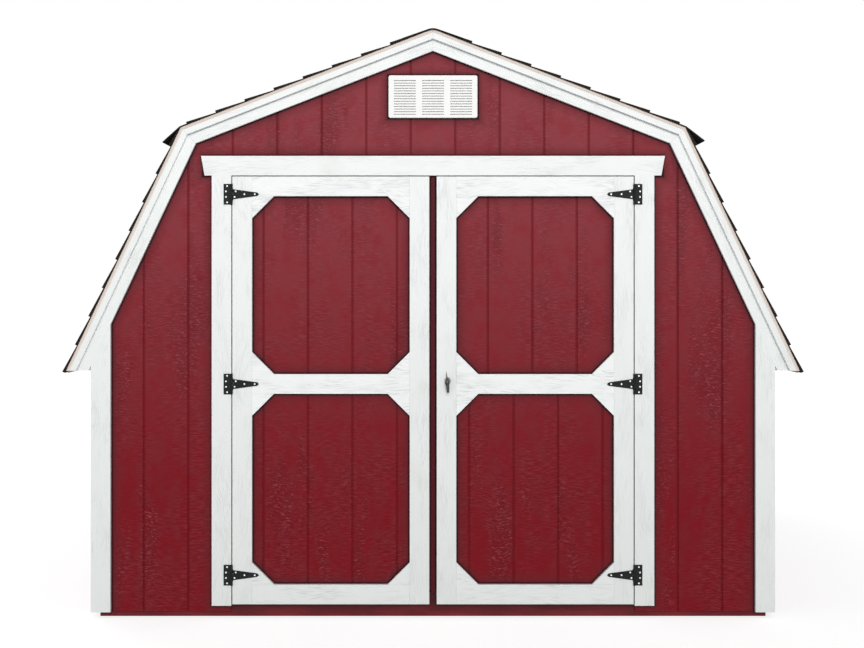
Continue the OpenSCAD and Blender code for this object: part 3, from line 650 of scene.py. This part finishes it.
def granules():
    """Mineral granules on asphalt, in the tones of each shingle, and dark where one laps."""
    r = Recipe("shingle_granules")
    tone = r.node("Attribute", {"attribute_name": "tone"}, out="Fac")
    grain = r.node("RGBToBW", {}, [r.cells(r.x * GRAINS, r.y * GRAINS, r.z * GRAINS)])
    cloud = r.noise(r.x * 4.0, r.y * 4.0, r.z * 4.0, detail=4.0)
    tint = r.blend(tone, SHINGLE_DARK, SHINGLE_PALE)
    tint = r.blend(r.between(grain, 0.62, 0.9, 0.0, 0.7), tint, GRAIN_PALE)
    tint = r.blend(r.between(grain, 0.05, 0.3, 0.7, 0.0), tint, GRAIN_DARK)
    tint = r.blend(cloud * 0.35, tint, SHINGLE_CLOUD)
    facing = r.split(r.node("NewGeometry", out="True Normal"))[2]
    tint = r.blend(facing < 0.3, tint, SHINGLE_EDGE)
    return r.finish(tint, 0.85, grain, 0.0009, specular=0.2)


def dress(material, *nodes):
    """Gives a material to CAD nodes."""
    for name in nodes:
        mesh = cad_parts[name].data
        mesh.materials.clear()
        mesh.materials.append(material)


dress(red_siding("red_end_siding", to_end_boards, to_end_grooves), "front_wall_left",
      "front_wall_right", "front_gable_wall", "back_wall")
dress(red_siding("red_side_siding", to_side_boards, to_side_grooves), "left_wall", "right_wall")
dress(red_siding("red_door_siding", to_door_boards, to_door_grooves, door_meeting),
      "left_door_panel", "right_door_panel")
dress(white_paint("white_upright_trim", upright), "door_casings", "front_corner_boards",
      "back_corner_boards")
dress(white_paint("white_level_trim", across_front), "header_board")
dress(white_paint("white_soffit", front_to_back), "soffits")
dress(white_paint("white_rake_trim", down_slopes), "front_rake_boards", "back_rake_boards",
      "rake_strips")
dress(white_paint("white_door_trim", door_boards), "left_door_trim", "right_door_trim")
dress(lumber("side_framing", side_frame_boards), "left_wall_frame", "right_wall_frame")
dress(lumber("end_framing", end_frame_boards), "front_wall_frame", "back_wall_frame", "door_stops")
dress(lumber("roof_framing", down_slopes), "rafters")
dress(lumber("floor_framing", floor_boards, painted_outside=True), "floor_frame")
dress(lumber("door_framing", door_boards), "left_door_frame", "right_door_frame")
dress(strand_board("floor_sheets", lambda r: (r.x, r.y), painted_outside=True), "floor_deck")
dress(strand_board("gusset_plates", lambda r: (r.x, r.z)), "roof_gussets")
dress(strand_board("roof_sheets", lambda r: (r.y, down_slopes(r)[0])), "left_roof_deck",
      "right_roof_deck")
dress(drip_metal(), "drip_edges")
dress(black_iron(), "hinge_leaves", "left_door_straps", "right_door_straps")
dress(zinc_metal("rosette_zinc", ROSETTE_ZINC), "handle_rosette")

# ---- Modelling tools ----

def start(name, add, scale=(1, 1, 1), **place):
    """Adds a primitive, with its place in its mesh, and opens it for editing."""
    bpy.ops.object.select_all(action="DESELECT")
    add(**place)
    piece = bpy.context.object
    piece.name = piece.data.name = name
    piece.scale = scale
    bpy.ops.object.transform_apply(location=True, rotation=True, scale=True)
    bpy.ops.object.mode_set(mode="EDIT")
    return piece


def start_block(name, low, high):
    """A block between two corners, open for editing."""
    low, high = Vector(low), Vector(high)
    return start(name, bpy.ops.mesh.primitive_cube_add, size=1, location=(low + high) / 2,
                 scale=high - low)


def choose(piece, kind, test):
    """Selects the edges or faces of an open piece whose middle and normal pass a test."""
    bpy.ops.mesh.select_mode(type=kind)
    bpy.ops.mesh.select_all(action="DESELECT")
    mesh = bmesh.from_edit_mesh(piece.data)
    for part in {"EDGE": mesh.edges, "FACE": mesh.faces}[kind]:
        middle = sum((corner.co for corner in part.verts), Vector()) / len(part.verts)
        part.select_set(test(middle, part.normal if kind == "FACE" else None))
    bmesh.update_edit_mesh(piece.data)


def take_pattern(piece):
    """Closes a piece and keeps only its mesh, to be copied."""
    bpy.ops.object.mode_set(mode="OBJECT")
    mesh = piece.data
    bpy.data.objects.remove(piece)
    return mesh


def place_copy(pattern, matrix, tone=None):
    """A copy of a pattern with its own mesh, set in its place."""
    mesh = pattern.copy()
    mesh.transform(matrix)
    if tone is not None:
        values = mesh.attributes.new("tone", "FLOAT", "POINT").data
        values.foreach_set("value", [tone] * len(values))
    copy = bpy.data.objects.new(pattern.name, mesh)
    bpy.context.scene.collection.objects.link(copy)
    return copy


def join(pieces):
    """Joins closed pieces to the first of them."""
    bpy.ops.object.select_all(action="DESELECT")
    for piece in pieces:
        piece.select_set(True)
    bpy.context.view_layer.objects.active = pieces[0]
    bpy.ops.object.join()
    return pieces[0]


def join_pieces(name, copies, material, body):
    """Joins copies to one piece that rides on a body."""
    piece = join(copies)
    piece.name = piece.data.name = name
    piece.data.materials.clear()
    piece.data.materials.append(material)
    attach(piece, body)
    return piece


# ---- Shingles ----

def shingle_base():
    """A shingle's base strip: a wedge, thin at its head and thick at its butt."""
    strip = start_block("shingle_base", (0, 0, 0), (BASE_LENGTH, TAB_LENGTH, BUTT_T - TAB_T))
    top = (BUTT_T - TAB_T) * 0.9
    choose(strip, "EDGE", lambda at, _: at.y > TAB_LENGTH * 0.9 and at.z > top)
    bpy.ops.transform.translate(value=(0, 0, THIN_T - BUTT_T))
    choose(strip, "EDGE", lambda at, _: at.y < 0.001 and at.z > top)
    bpy.ops.mesh.bevel(offset=BASE_WORN, segments=1, affect="EDGES")
    return take_pattern(strip)


def shingle_tab():
    """One tab of a shingle: its sides draw in towards the head, and its butt is worn round."""
    tab = start_block("shingle_tab", (0, 0, 0), (TAB_WIDE, TAB_LENGTH, TAB_T))
    choose(tab, "FACE", lambda at, normal: normal.y > 0.9)
    bpy.ops.transform.resize(value=(TAB_TAPER, 1, 1), center_override=(TAB_WIDE / 2, TAB_LENGTH, 0))
    choose(tab, "EDGE", lambda at, _: at.z > TAB_T * 0.9 and at.y < TAB_LENGTH * 0.9)
    bpy.ops.mesh.bevel(offset=TAB_WORN, segments=2, affect="EDGES")
    return take_pattern(tab)


def flap_strip(name, wide, low, thick, bend):
    """A strip of the course that reaches past the break, bent where it meets the upper slope."""
    strip = start_block(name, (0, 0, low), (wide, FLAP_REACH, low + thick))
    choose(strip, "FACE", lambda at, normal: normal.y > 0.9)
    turn_up = FIRST_UP + FLAP_TUCK
    bpy.ops.mesh.extrude_region_move(TRANSFORM_OT_translate={
        "value": (0, turn_up * math.cos(bend), -turn_up * math.sin(bend))})
    choose(strip, "EDGE", lambda at, _: at.z > low + thick * 0.9 and at.y < 0.001)
    bpy.ops.mesh.bevel(offset=BASE_WORN, segments=2, affect="EDGES")
    return take_pattern(strip)


def cap_shingle(nose):
    """One shingle of the ridge cap, folded softly over the ridge, with its butt at the near end,
    and with a nose turned down over the roof's edge where it lies at a gable."""
    long = CAP_LENGTH
    drop = CAP_REACH * math.tan(CAP_SLOPE)
    cap = start("cap_shingle", bpy.ops.mesh.primitive_plane_add, size=1,
                location=(CAP_REACH / 2, long / 2, 0), scale=(CAP_REACH, long, 1))
    choose(cap, "EDGE", lambda at, _: at.x > CAP_REACH * 0.9)
    bpy.ops.transform.translate(value=(0, 0, -drop))
    choose(cap, "EDGE", lambda at, _: abs(at.x) < 0.001)
    bpy.ops.mesh.extrude_region_move(TRANSFORM_OT_translate={"value": (-CAP_REACH, 0, -drop)})
    choose(cap, "EDGE", lambda at, _: abs(at.x) < 0.001)
    bpy.ops.mesh.bevel(offset=CAP_ROUND, segments=4, affect="EDGES")
    choose(cap, "EDGE", lambda at, _: at.y > long * 0.99)
    bpy.ops.transform.translate(value=(0, 0, -CAP_T * 0.9))
    if nose:
        choose(cap, "EDGE", lambda at, _: at.y < 0.001)
        bpy.ops.mesh.extrude_region_move(TRANSFORM_OT_translate={
            "value": (0, 0, -CAP_T - CAP_NOSE)})
    bpy.ops.mesh.select_all(action="SELECT")
    bpy.ops.mesh.normals_make_consistent(inside=False)
    bpy.ops.object.mode_set(mode="OBJECT")
    if max(cap.data.polygons, key=lambda face: face.area).normal.z < 0:
        cap.data.flip_normals()
    wall = cap.modifiers.new("thickness", "SOLIDIFY")
    wall.thickness = CAP_T
    wall.offset = -1.0
    edge = cap.modifiers.new("worn_edges", "BEVEL")
    edge.width = CAP_WORN
    edge.segments = 1
    for modifier in ("thickness", "worn_edges"):
        bpy.ops.object.modifier_apply(modifier=modifier)
    return take_pattern(cap)


def slope_place(side, root, slope, down, out, along):
    """The place of a course: X runs along it, Y up the slope and Z out of the roof."""
    run, rise = math.cos(slope), math.sin(slope)
    spot = Vector((root[0] + run * down + rise * out, 0, root[1] - rise * down + run * out))
    axes = Matrix(((0, -run, rise, spot.x), (1, 0, 0, along), (0, rise, run, spot.z), (0, 0, 0, 1)))
    return axes if side > 0 else Matrix.Rotation(math.pi, 4, "Z") @ axes


def break_point(off):
    """Where the two slopes meet, at a distance outwards from the deck's underside."""
    apart = off / math.cos(LOWER_SLOPE) - off / math.cos(UPPER_SLOPE)
    x = BREAK_X + apart / (math.tan(LOWER_SLOPE) - math.tan(UPPER_SLOPE))
    return x, RIDGE_Z - math.tan(UPPER_SLOPE) * x + off / math.cos(UPPER_SLOPE)


def tab_spots(chance, first):
    """Starts and widths of a course's tabs, with one at each end of the roof."""
    spots = [(-ROOF_END, first)]
    at = -ROOF_END + first + chance.uniform(*FIRST_GAPS)
    while at < ROOF_END - LAST_TAB:
        wide = chance.choice(TAB_WIDTHS)
        spots.append((at, wide))
        at += wide + chance.uniform(*TAB_GAPS)
    spots.append((at, ROOF_END - at))
    return spots


def strip_spots(course):
    """Starts and lengths of a course's base strips, staggered from course to course."""
    ends = [-ROOF_END]
    at = -ROOF_END + BASE_LENGTH - BASE_STAGGER * (course % 4)
    while at < ROOF_END - SHORTEST_BASE:
        ends.append(at)
        at += BASE_LENGTH
    ends.append(ROOF_END)
    return [(a, b - a) for a, b in zip(ends, ends[1:])]


def lay_strips(base, tab, place, tab_out, course, chance, stretch=Matrix(), tilt=Matrix()):
    """Base strips side by side, and tabs of several widths on them, each with its own tone."""
    copies = []
    for at, long in strip_spots(course):
        size = Matrix.Scale((long - BASE_JOINT) / BASE_LENGTH, 4, (1, 0, 0)) @ stretch
        copies.append(place_copy(base, place(0.0, at) @ size, chance.uniform(*BASE_TONES)))
    for at, wide in tab_spots(chance, chance.uniform(*FIRST_TABS)):
        size = Matrix.Scale(wide / TAB_WIDE, 4, (1, 0, 0)) @ stretch
        copies.append(place_copy(tab, place(tab_out, at) @ tilt @ size, chance.uniform(*TAB_TONES)))
    return copies


def lay_course(side, root, slope, butt, course, chance, length=TAB_LENGTH):
    """One course of shingles, whose butts lie a distance down the slope from its root."""
    return lay_strips(BASE_PATTERN, TAB_PATTERN,
                      lambda out, at: slope_place(side, root, slope, butt, LAY + out, at),
                      BUTT_T - TAB_T, course, chance,
                      stretch=Matrix.Scale(length / TAB_LENGTH, 4, (0, 1, 0)),
                      tilt=Matrix.Rotation(-math.atan2(BUTT_T - THIN_T, length), 4, "X"))


def lay_flap(side, chance):
    """The course that reaches past the break, from its tip up to the next course's butts."""
    root = break_point(DECK_T + LAY)
    slope = FLAP_SLOPES[side]
    bend = slope - UPPER_SLOPE
    base = flap_strip("flap_base", BASE_LENGTH, 0.0, THIN_T - TAB_T, bend)
    tab = flap_strip("flap_tab", TAB_WIDE, THIN_T - TAB_T, TAB_T, bend)
    return lay_strips(base, tab, lambda out, at: slope_place(side, root, slope, FLAP_REACH, out, at),
                      0.0, 1, chance)


def shingle_roof(material):
    ridge = (0.0, RIDGE_Z + DECK_T / math.cos(UPPER_SLOPE))
    root = break_point(DECK_T)
    upper_long = math.hypot(root[0] - ridge[0], root[1] - ridge[1])
    eave_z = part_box("right_roof_deck")[0][2]
    eave_x = root[0] + (root[1] - eave_z) / math.tan(LOWER_SLOPE)
    lower_long = math.hypot(eave_x - root[0], eave_z - root[1]) + EAVE_LAP
    for side, name in ((-1, "left"), (1, "right")):
        chance = random.Random(ROOF_SEED + side)
        copies = lay_flap(side, chance)
        first = upper_long - FIRST_UP
        step = (first - TOP_BUTTS[side]) / (UPPER_COURSES - 1)
        for i in range(UPPER_COURSES):
            butt = first - i * step
            length = butt - CAP_ROUND if i == UPPER_COURSES - 1 else TAB_LENGTH
            copies += lay_course(side, ridge, UPPER_SLOPE, butt, i + 2, chance, length)
        upper = join_pieces(name + "_upper_courses", copies, material, "barn")
        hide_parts(name + "_upper_shingles")
        copies = lay_course(side, root, LOWER_SLOPE, lower_long, UPPER_COURSES + 2, chance)
        butt = lower_long - EAVE_EXPOSURE
        course = UPPER_COURSES + 3
        while butt > SHORTEST:
            copies += lay_course(side, root, LOWER_SLOPE, butt, course, chance, min(TAB_LENGTH, butt))
            butt -= EXPOSURE
            course += 1
        lower = join_pieces(name + "_lower_courses", copies, material, "barn")
        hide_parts(name + "_lower_shingles")


def shingle_ridge(material):
    chance = random.Random(RIDGE_SEED)
    top = RIDGE_Z + CAP_RISE
    pattern = cap_shingle(nose=False)
    nosed = cap_shingle(nose=True)
    copies = []
    count = math.ceil(2 * ROOF_END / EXPOSURE)
    pitch = (2 * ROOF_END - CAP_LENGTH) / (count - 1)
    for i in range(count):
        spot = Matrix.Translation((0, -ROOF_END + i * pitch, top))
        copies.append(place_copy(pattern if i else nosed, spot, chance.uniform(*CAP_TONES)))
    spot = Matrix.Translation((0, ROOF_END, top + CAP_T * 0.9)) @ Matrix.Rotation(math.pi, 4, "Z")
    copies.append(place_copy(nosed, spot, chance.uniform(*CAP_TONES)))
    cap = join_pieces("ridge_cap_shingles", copies, material, "barn")
    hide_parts("ridge_cap")


BASE_PATTERN = shingle_base()
TAB_PATTERN = shingle_tab()
GRANULES = granules()
shingle_roof(GRANULES)
shingle_ridge(GRANULES)

# ---- Gable vents ----

def cut_away(piece, cutters):
    """Cuts the joined shapes out of a closed piece."""
    tool = join(cutters)
    bpy.context.view_layer.objects.active = piece
    cut = piece.modifiers.new("cut", "BOOLEAN")
    cut.object = tool
    cut.solver = "EXACT"
    bpy.ops.object.modifier_apply(modifier="cut")
    bpy.data.objects.remove(tool)


def vent_blade(wide, pitch):
    """One blade: it slopes down and outwards behind its slot."""
    front, back = -FACE_Y - VENT_T + VENT_WALL, -FACE_Y
    blade = start_block("vent_blade", (-wide / 2, front, 0), (wide / 2, back, BLADE_T))
    choose(blade, "FACE", lambda at, normal: normal.y > 0.9)
    bpy.ops.transform.translate(value=(0, 0, pitch * BLADE_RISE))
    return take_pattern(blade)


def vent_pattern():
    """A moulded louvred vent with round corners, hollow behind its slotted face."""
    low, high = VENT_LOW, VENT_HIGH
    wide, tall = high.x - low.x, high.z - low.z
    shell = start_block("gable_vent", low, high)
    choose(shell, "FACE", lambda at, normal: normal.y > 0.9)
    bpy.ops.mesh.inset(thickness=VENT_FOOT, depth=0)
    bpy.ops.transform.translate(value=(0, VENT_WALL - VENT_T, 0))
    choose(shell, "EDGE", lambda at, _: abs(abs(at.x) - wide / 2) < 0.001
           and min(at.z - low.z, high.z - at.z) < 0.001)
    bpy.ops.mesh.bevel(offset=VENT_CORNER, segments=4, affect="EDGES")
    choose(shell, "EDGE", lambda at, _: at.y < low.y + 0.0001)
    bpy.ops.mesh.bevel(offset=VENT_EDGE, segments=2, affect="EDGES")
    bpy.ops.object.mode_set(mode="OBJECT")
    pitch = (tall - VENT_HEAD - VENT_FOOT) / (LOUVRES - 1)
    slot_wide = (wide - 2 * VENT_SIDE - (COLUMNS - 1) * VENT_BAR) / COLUMNS
    front, back = low.y + SLOT_FRONT, low.y + SLOT_BACK
    slot = start_block("vent_slot", (0, front, 0), (slot_wide, back, SLOT_H))
    choose(slot, "EDGE", lambda at, _: abs(at.y - (front + back) / 2) < 0.0001)
    bpy.ops.mesh.bevel(offset=SLOT_H * 0.49, segments=3, affect="EDGES")
    slot_mesh = take_pattern(slot)
    blade_mesh = vent_blade(wide - 1.5 * VENT_SIDE, pitch)
    cutters, blades = [], []
    for i in range(LOUVRES):
        z = low.z + VENT_FOOT + i * pitch - SLOT_H / 2
        for j in range(COLUMNS):
            x = low.x + VENT_SIDE + j * (slot_wide + VENT_BAR)
            cutters.append(place_copy(slot_mesh, Matrix.Translation((x, 0, z))))
        blades.append(place_copy(blade_mesh, Matrix.Translation((0, 0, z - BLADE_DROP))))
    cut_away(shell, cutters)
    mesh = join([shell] + blades).data
    bpy.data.objects.remove(shell)
    return mesh


plastic = moulded_plastic()
pattern = vent_pattern()
for name, turn in (("front", 0.0), ("back", math.pi)):
    vent = join_pieces(name + "_louvred_vent",
                       [place_copy(pattern, Matrix.Rotation(turn, 4, "Z"))], plastic, "barn")
    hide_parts(name + "_vent")

# ---- Screws and nails ----

def pan_screw():
    """A pan-head screw seen on end: a low dome with a driver's recess, facing -Y."""
    head = start("pan_screw", bpy.ops.mesh.primitive_cylinder_add, vertices=16, radius=SCREW_R,
                 depth=SCREW_R * 0.5, location=(0, -SCREW_R * 0.25, 0),
                 rotation=(math.pi / 2, 0, 0))
    choose(head, "FACE", lambda at, normal: normal.y < -0.9)
    bpy.ops.mesh.bevel(offset=SCREW_R * 0.3, segments=3, affect="EDGES")
    choose(head, "FACE", lambda at, normal: normal.y < -0.99 and at.xz.length < 0.0001)
    bpy.ops.mesh.inset(thickness=SCREW_R * 0.3, depth=0)
    bpy.ops.mesh.inset(thickness=SCREW_R * 0.02, depth=-SCREW_R * 0.3)
    return take_pattern(head)


def nail_head():
    """A nail driven flush and painted over, facing -Y."""
    head = start("nail_head", bpy.ops.mesh.primitive_cylinder_add, vertices=12, radius=NAIL_R,
                 depth=NAIL_T, location=(0, -NAIL_T / 2, 0), rotation=(math.pi / 2, 0, 0))
    choose(head, "FACE", lambda at, normal: normal.y < -0.9)
    bpy.ops.mesh.inset(thickness=NAIL_RIM, depth=0)
    bpy.ops.transform.translate(value=(0, -NAIL_T / 2, 0))
    choose(head, "FACE", lambda at, normal: normal.y < -0.9 and at.xz.length < 0.0001)
    bpy.ops.mesh.inset(thickness=NAIL_DIMPLE, depth=-NAIL_DIMPLE / 4)
    return take_pattern(head)


def hinge_screws(side, spots):
    """The screws of one door's hinges, at spots outwards from the pin and above the middle."""
    pin_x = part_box("right_door_straps")[1][0] - KNUCKLE_R
    front = TRIM_Y + PLATE_T
    copies = []
    for z in HINGE_HEIGHTS:
        for out, up in spots:
            spot = Matrix.Translation((side * (pin_x + out), -front, z + up))
            copies.append(place_copy(SCREW, spot))
    return copies


SCREW = pan_screw()
screw_zinc = zinc_metal("bright_zinc", SCREW_ZINC)
leaf_screws = hinge_screws(-1, LEAF_SPOTS) + hinge_screws(1, LEAF_SPOTS)
join_pieces("leaf_screws", leaf_screws, screw_zinc, "barn")
for side, name in ((-1, "left"), (1, "right")):
    join_pieces(name + "_strap_screws", hinge_screws(side, STRAP_SPOTS), screw_zinc,
                name + "_door")


def nail_line(start, end, count, turn=0.0):
    """Nails at equal steps between two places on the trim's front, or on the back by a half turn."""
    copies = []
    for i in range(count):
        x, z = Vector(start).lerp(Vector(end), i / (count - 1))
        spot = Matrix.Translation((x, -TRIM_Y, z))
        copies.append(place_copy(NAIL, Matrix.Rotation(turn, 4, "Z") @ spot))
    return copies


def upright_nails(x, low, high, count, turn=0.0):
    return nail_line((x, low), (x, high), count, turn)


NAIL = nail_head()
nail_paint = white_paint("white_nail_heads", upright)
barn_nails = []
for side in (-1, 1):
    for inset in NAIL_INSETS:
        for turn in (0.0, math.pi):
            barn_nails += upright_nails(side * (CORNER_IN + inset), turn=turn, **CORNER_NAILS)
        barn_nails += upright_nails(side * (CASING_IN + inset), **CASING_NAILS)
for inset in NAIL_INSETS:
    z = HEADER_LOW + inset
    barn_nails += nail_line((-HEADER_NAILS_X, z), (HEADER_NAILS_X, z), HEADER_NAILS)
join_pieces("barn_nails", barn_nails, nail_paint, "barn")
for side, name in ((-1, "left_door"), (1, "right_door")):
    door_nails = []
    for inner in (MEET_IN, STILE_OUT):
        for inset in NAIL_INSETS:
            door_nails += upright_nails(side * (inner + inset), **STILE_NAILS)
    for low in (DOOR_LOW, MID_RAIL_Z, DOOR_TOP - TRIM_W):
        ends = [(side * x, low + TRIM_W / 2) for x in RAIL_NAILS_X]
        door_nails += nail_line(*ends, RAIL_NAILS)
    join_pieces(name + "_nails", door_nails, nail_paint, name)

# ---- Door handle ----

def turned(name, profile, place):
    """A piece turned on a lathe: its radius at each height is given from the bottom up."""
    low, radius = profile[0]
    bar = start(name, bpy.ops.mesh.primitive_circle_add, vertices=20, radius=radius,
                fill_type="NGON", location=(0, 0, low))
    for high, wide in profile[1:]:
        bpy.ops.mesh.extrude_region_move(TRANSFORM_OT_translate={"value": (0, 0, high - low)})
        bpy.ops.transform.resize(value=(wide / radius, wide / radius, 1), center_override=(0, 0, high))
        low, radius = high, wide
    bpy.ops.mesh.select_all(action="SELECT")
    bpy.ops.mesh.normals_make_consistent(inside=False)
    bpy.ops.object.mode_set(mode="OBJECT")
    bpy.ops.object.shade_smooth_by_angle(angle=math.radians(35))
    bar.data.transform(place)
    return bar


def latch_bar(x, back, z):
    """The flat bar behind the door, with round ends."""
    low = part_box("door_handle")[0][2]
    bar = start_block("latch_bar", (x - LATCH_W / 2, back - LATCH_T, low),
                      (x + LATCH_W / 2, back, z + LATCH_W / 2))
    choose(bar, "EDGE", lambda at, _: abs(at.x - x) > LATCH_W * 0.4
           and abs(at.y - back + LATCH_T / 2) < LATCH_T * 0.1)
    bpy.ops.mesh.bevel(offset=LATCH_W * 0.49, segments=6, affect="EDGES")
    choose(bar, "EDGE", lambda at, _: abs(at.y - back + LATCH_T / 2) > LATCH_T * 0.4)
    bpy.ops.mesh.bevel(offset=LATCH_T * 0.12, segments=2, affect="EDGES")
    bpy.ops.object.mode_set(mode="OBJECT")
    return bar


rosette_low, rosette_high = (Vector(corner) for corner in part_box("handle_rosette"))
handle_x, _, handle_z = (rosette_low + rosette_high) / 2
hub_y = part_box("door_handle")[0][1] + HUB_DEEP
latch_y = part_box("door_handle")[1][1]
grip_place = (Matrix.Translation((handle_x - GRIP_LEFT, hub_y, handle_z - GRIP_DOWN))
              @ Matrix.Rotation(GRIP_TURN, 4, "Y"))
spindle_place = (Matrix.Translation((handle_x, hub_y, handle_z))
                 @ Matrix.Rotation(-math.pi / 2, 4, "X"))
rosette_face = rosette_low.y - hub_y
collar = COLLAR + [(rosette_face - COLLAR_LIP, COLLAR_R), (rosette_face - COLLAR_PLAY, COLLAR_R)]
spindle = [(SPINDLE_START, SPINDLE_R), (latch_y - SPINDLE_SHORT - hub_y, SPINDLE_R)]
grip_pieces = [turned("grip", GRIP, grip_place), turned("collar", collar, spindle_place),
               turned("spindle", spindle, spindle_place), latch_bar(handle_x, latch_y, handle_z)]
handle = join_pieces("turned_handle", grip_pieces, zinc_metal("handle_zinc", HANDLE_ZINC),
                     "handle")
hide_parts("door_handle")

# ---- Floor, camera and light ----

def plain_floor():
    """A pale floor that keeps a light shadow of the barn, and reads white to the camera."""
    r = Recipe("studio_floor")
    pale = r.node("BsdfDiffuse", {}, {"Color": colour(FLOOR_PALE)})
    grey = r.node("BsdfDiffuse", {}, {"Color": colour(FLOOR_GREY)})
    glow = r.node("Emission", {}, {"Color": WHITE, "Strength": FLOOR_GLOW})
    bright = r.node("AddShader", {}, [grey, glow])
    return r.surface(r.node("MixShader", {}, [r.seen(), pale, bright]))


def white_world():
    """Soft light from all around, and white behind the barn."""
    r = Recipe("white_world", "worlds", "OutputWorld")
    light = r.node("Background", {}, {"Color": WHITE, "Strength": SKY_LIGHT})
    white = r.node("Background", {}, {"Color": WHITE, "Strength": 1.0})
    return r.surface(r.node("MixShader", {}, [r.seen(), light, white]))


def add_sun(name, direction, strength, softness):
    """A distant lamp: its light comes from a direction, and its softness is an angle in degrees."""
    lamp = bpy.data.lights.new(name, "SUN")
    lamp.energy = strength
    lamp.angle = math.radians(softness)
    lamp_ob = bpy.data.objects.new(name, lamp)
    bpy.context.scene.collection.objects.link(lamp_ob)
    lamp_ob.rotation_euler = Vector(direction).to_track_quat("Z", "Y").to_euler()


bpy.ops.object.select_all(action="DESELECT")
bpy.ops.mesh.primitive_plane_add(size=FLOOR_SIZE, location=(0, 0, -FLOOR_SINK))
floor = bpy.context.object
floor.name = "studio_floor"
floor.data.materials.append(plain_floor())

bpy.context.scene.world = white_world()
add_sun("key_light", direction=(0.08, -1.0, 0.36), strength=1.60, softness=24)
add_sun("back_light", direction=(-0.7, 1.0, 0.8), strength=0.7, softness=30)

camera = bpy.data.cameras.new("camera")
camera.lens = 54.7
camera.sensor_width = 36
camera.shift_y = -0.046
camera_ob = bpy.data.objects.new("camera", camera)
bpy.context.scene.collection.objects.link(camera_ob)
camera_ob.location = (-0.0045, -7.845, 1.52)
camera_ob.rotation_euler = (math.radians(90), 0, 0)
bpy.context.scene.camera = camera_ob
bpy.context.scene.view_settings.view_transform = "Standard"
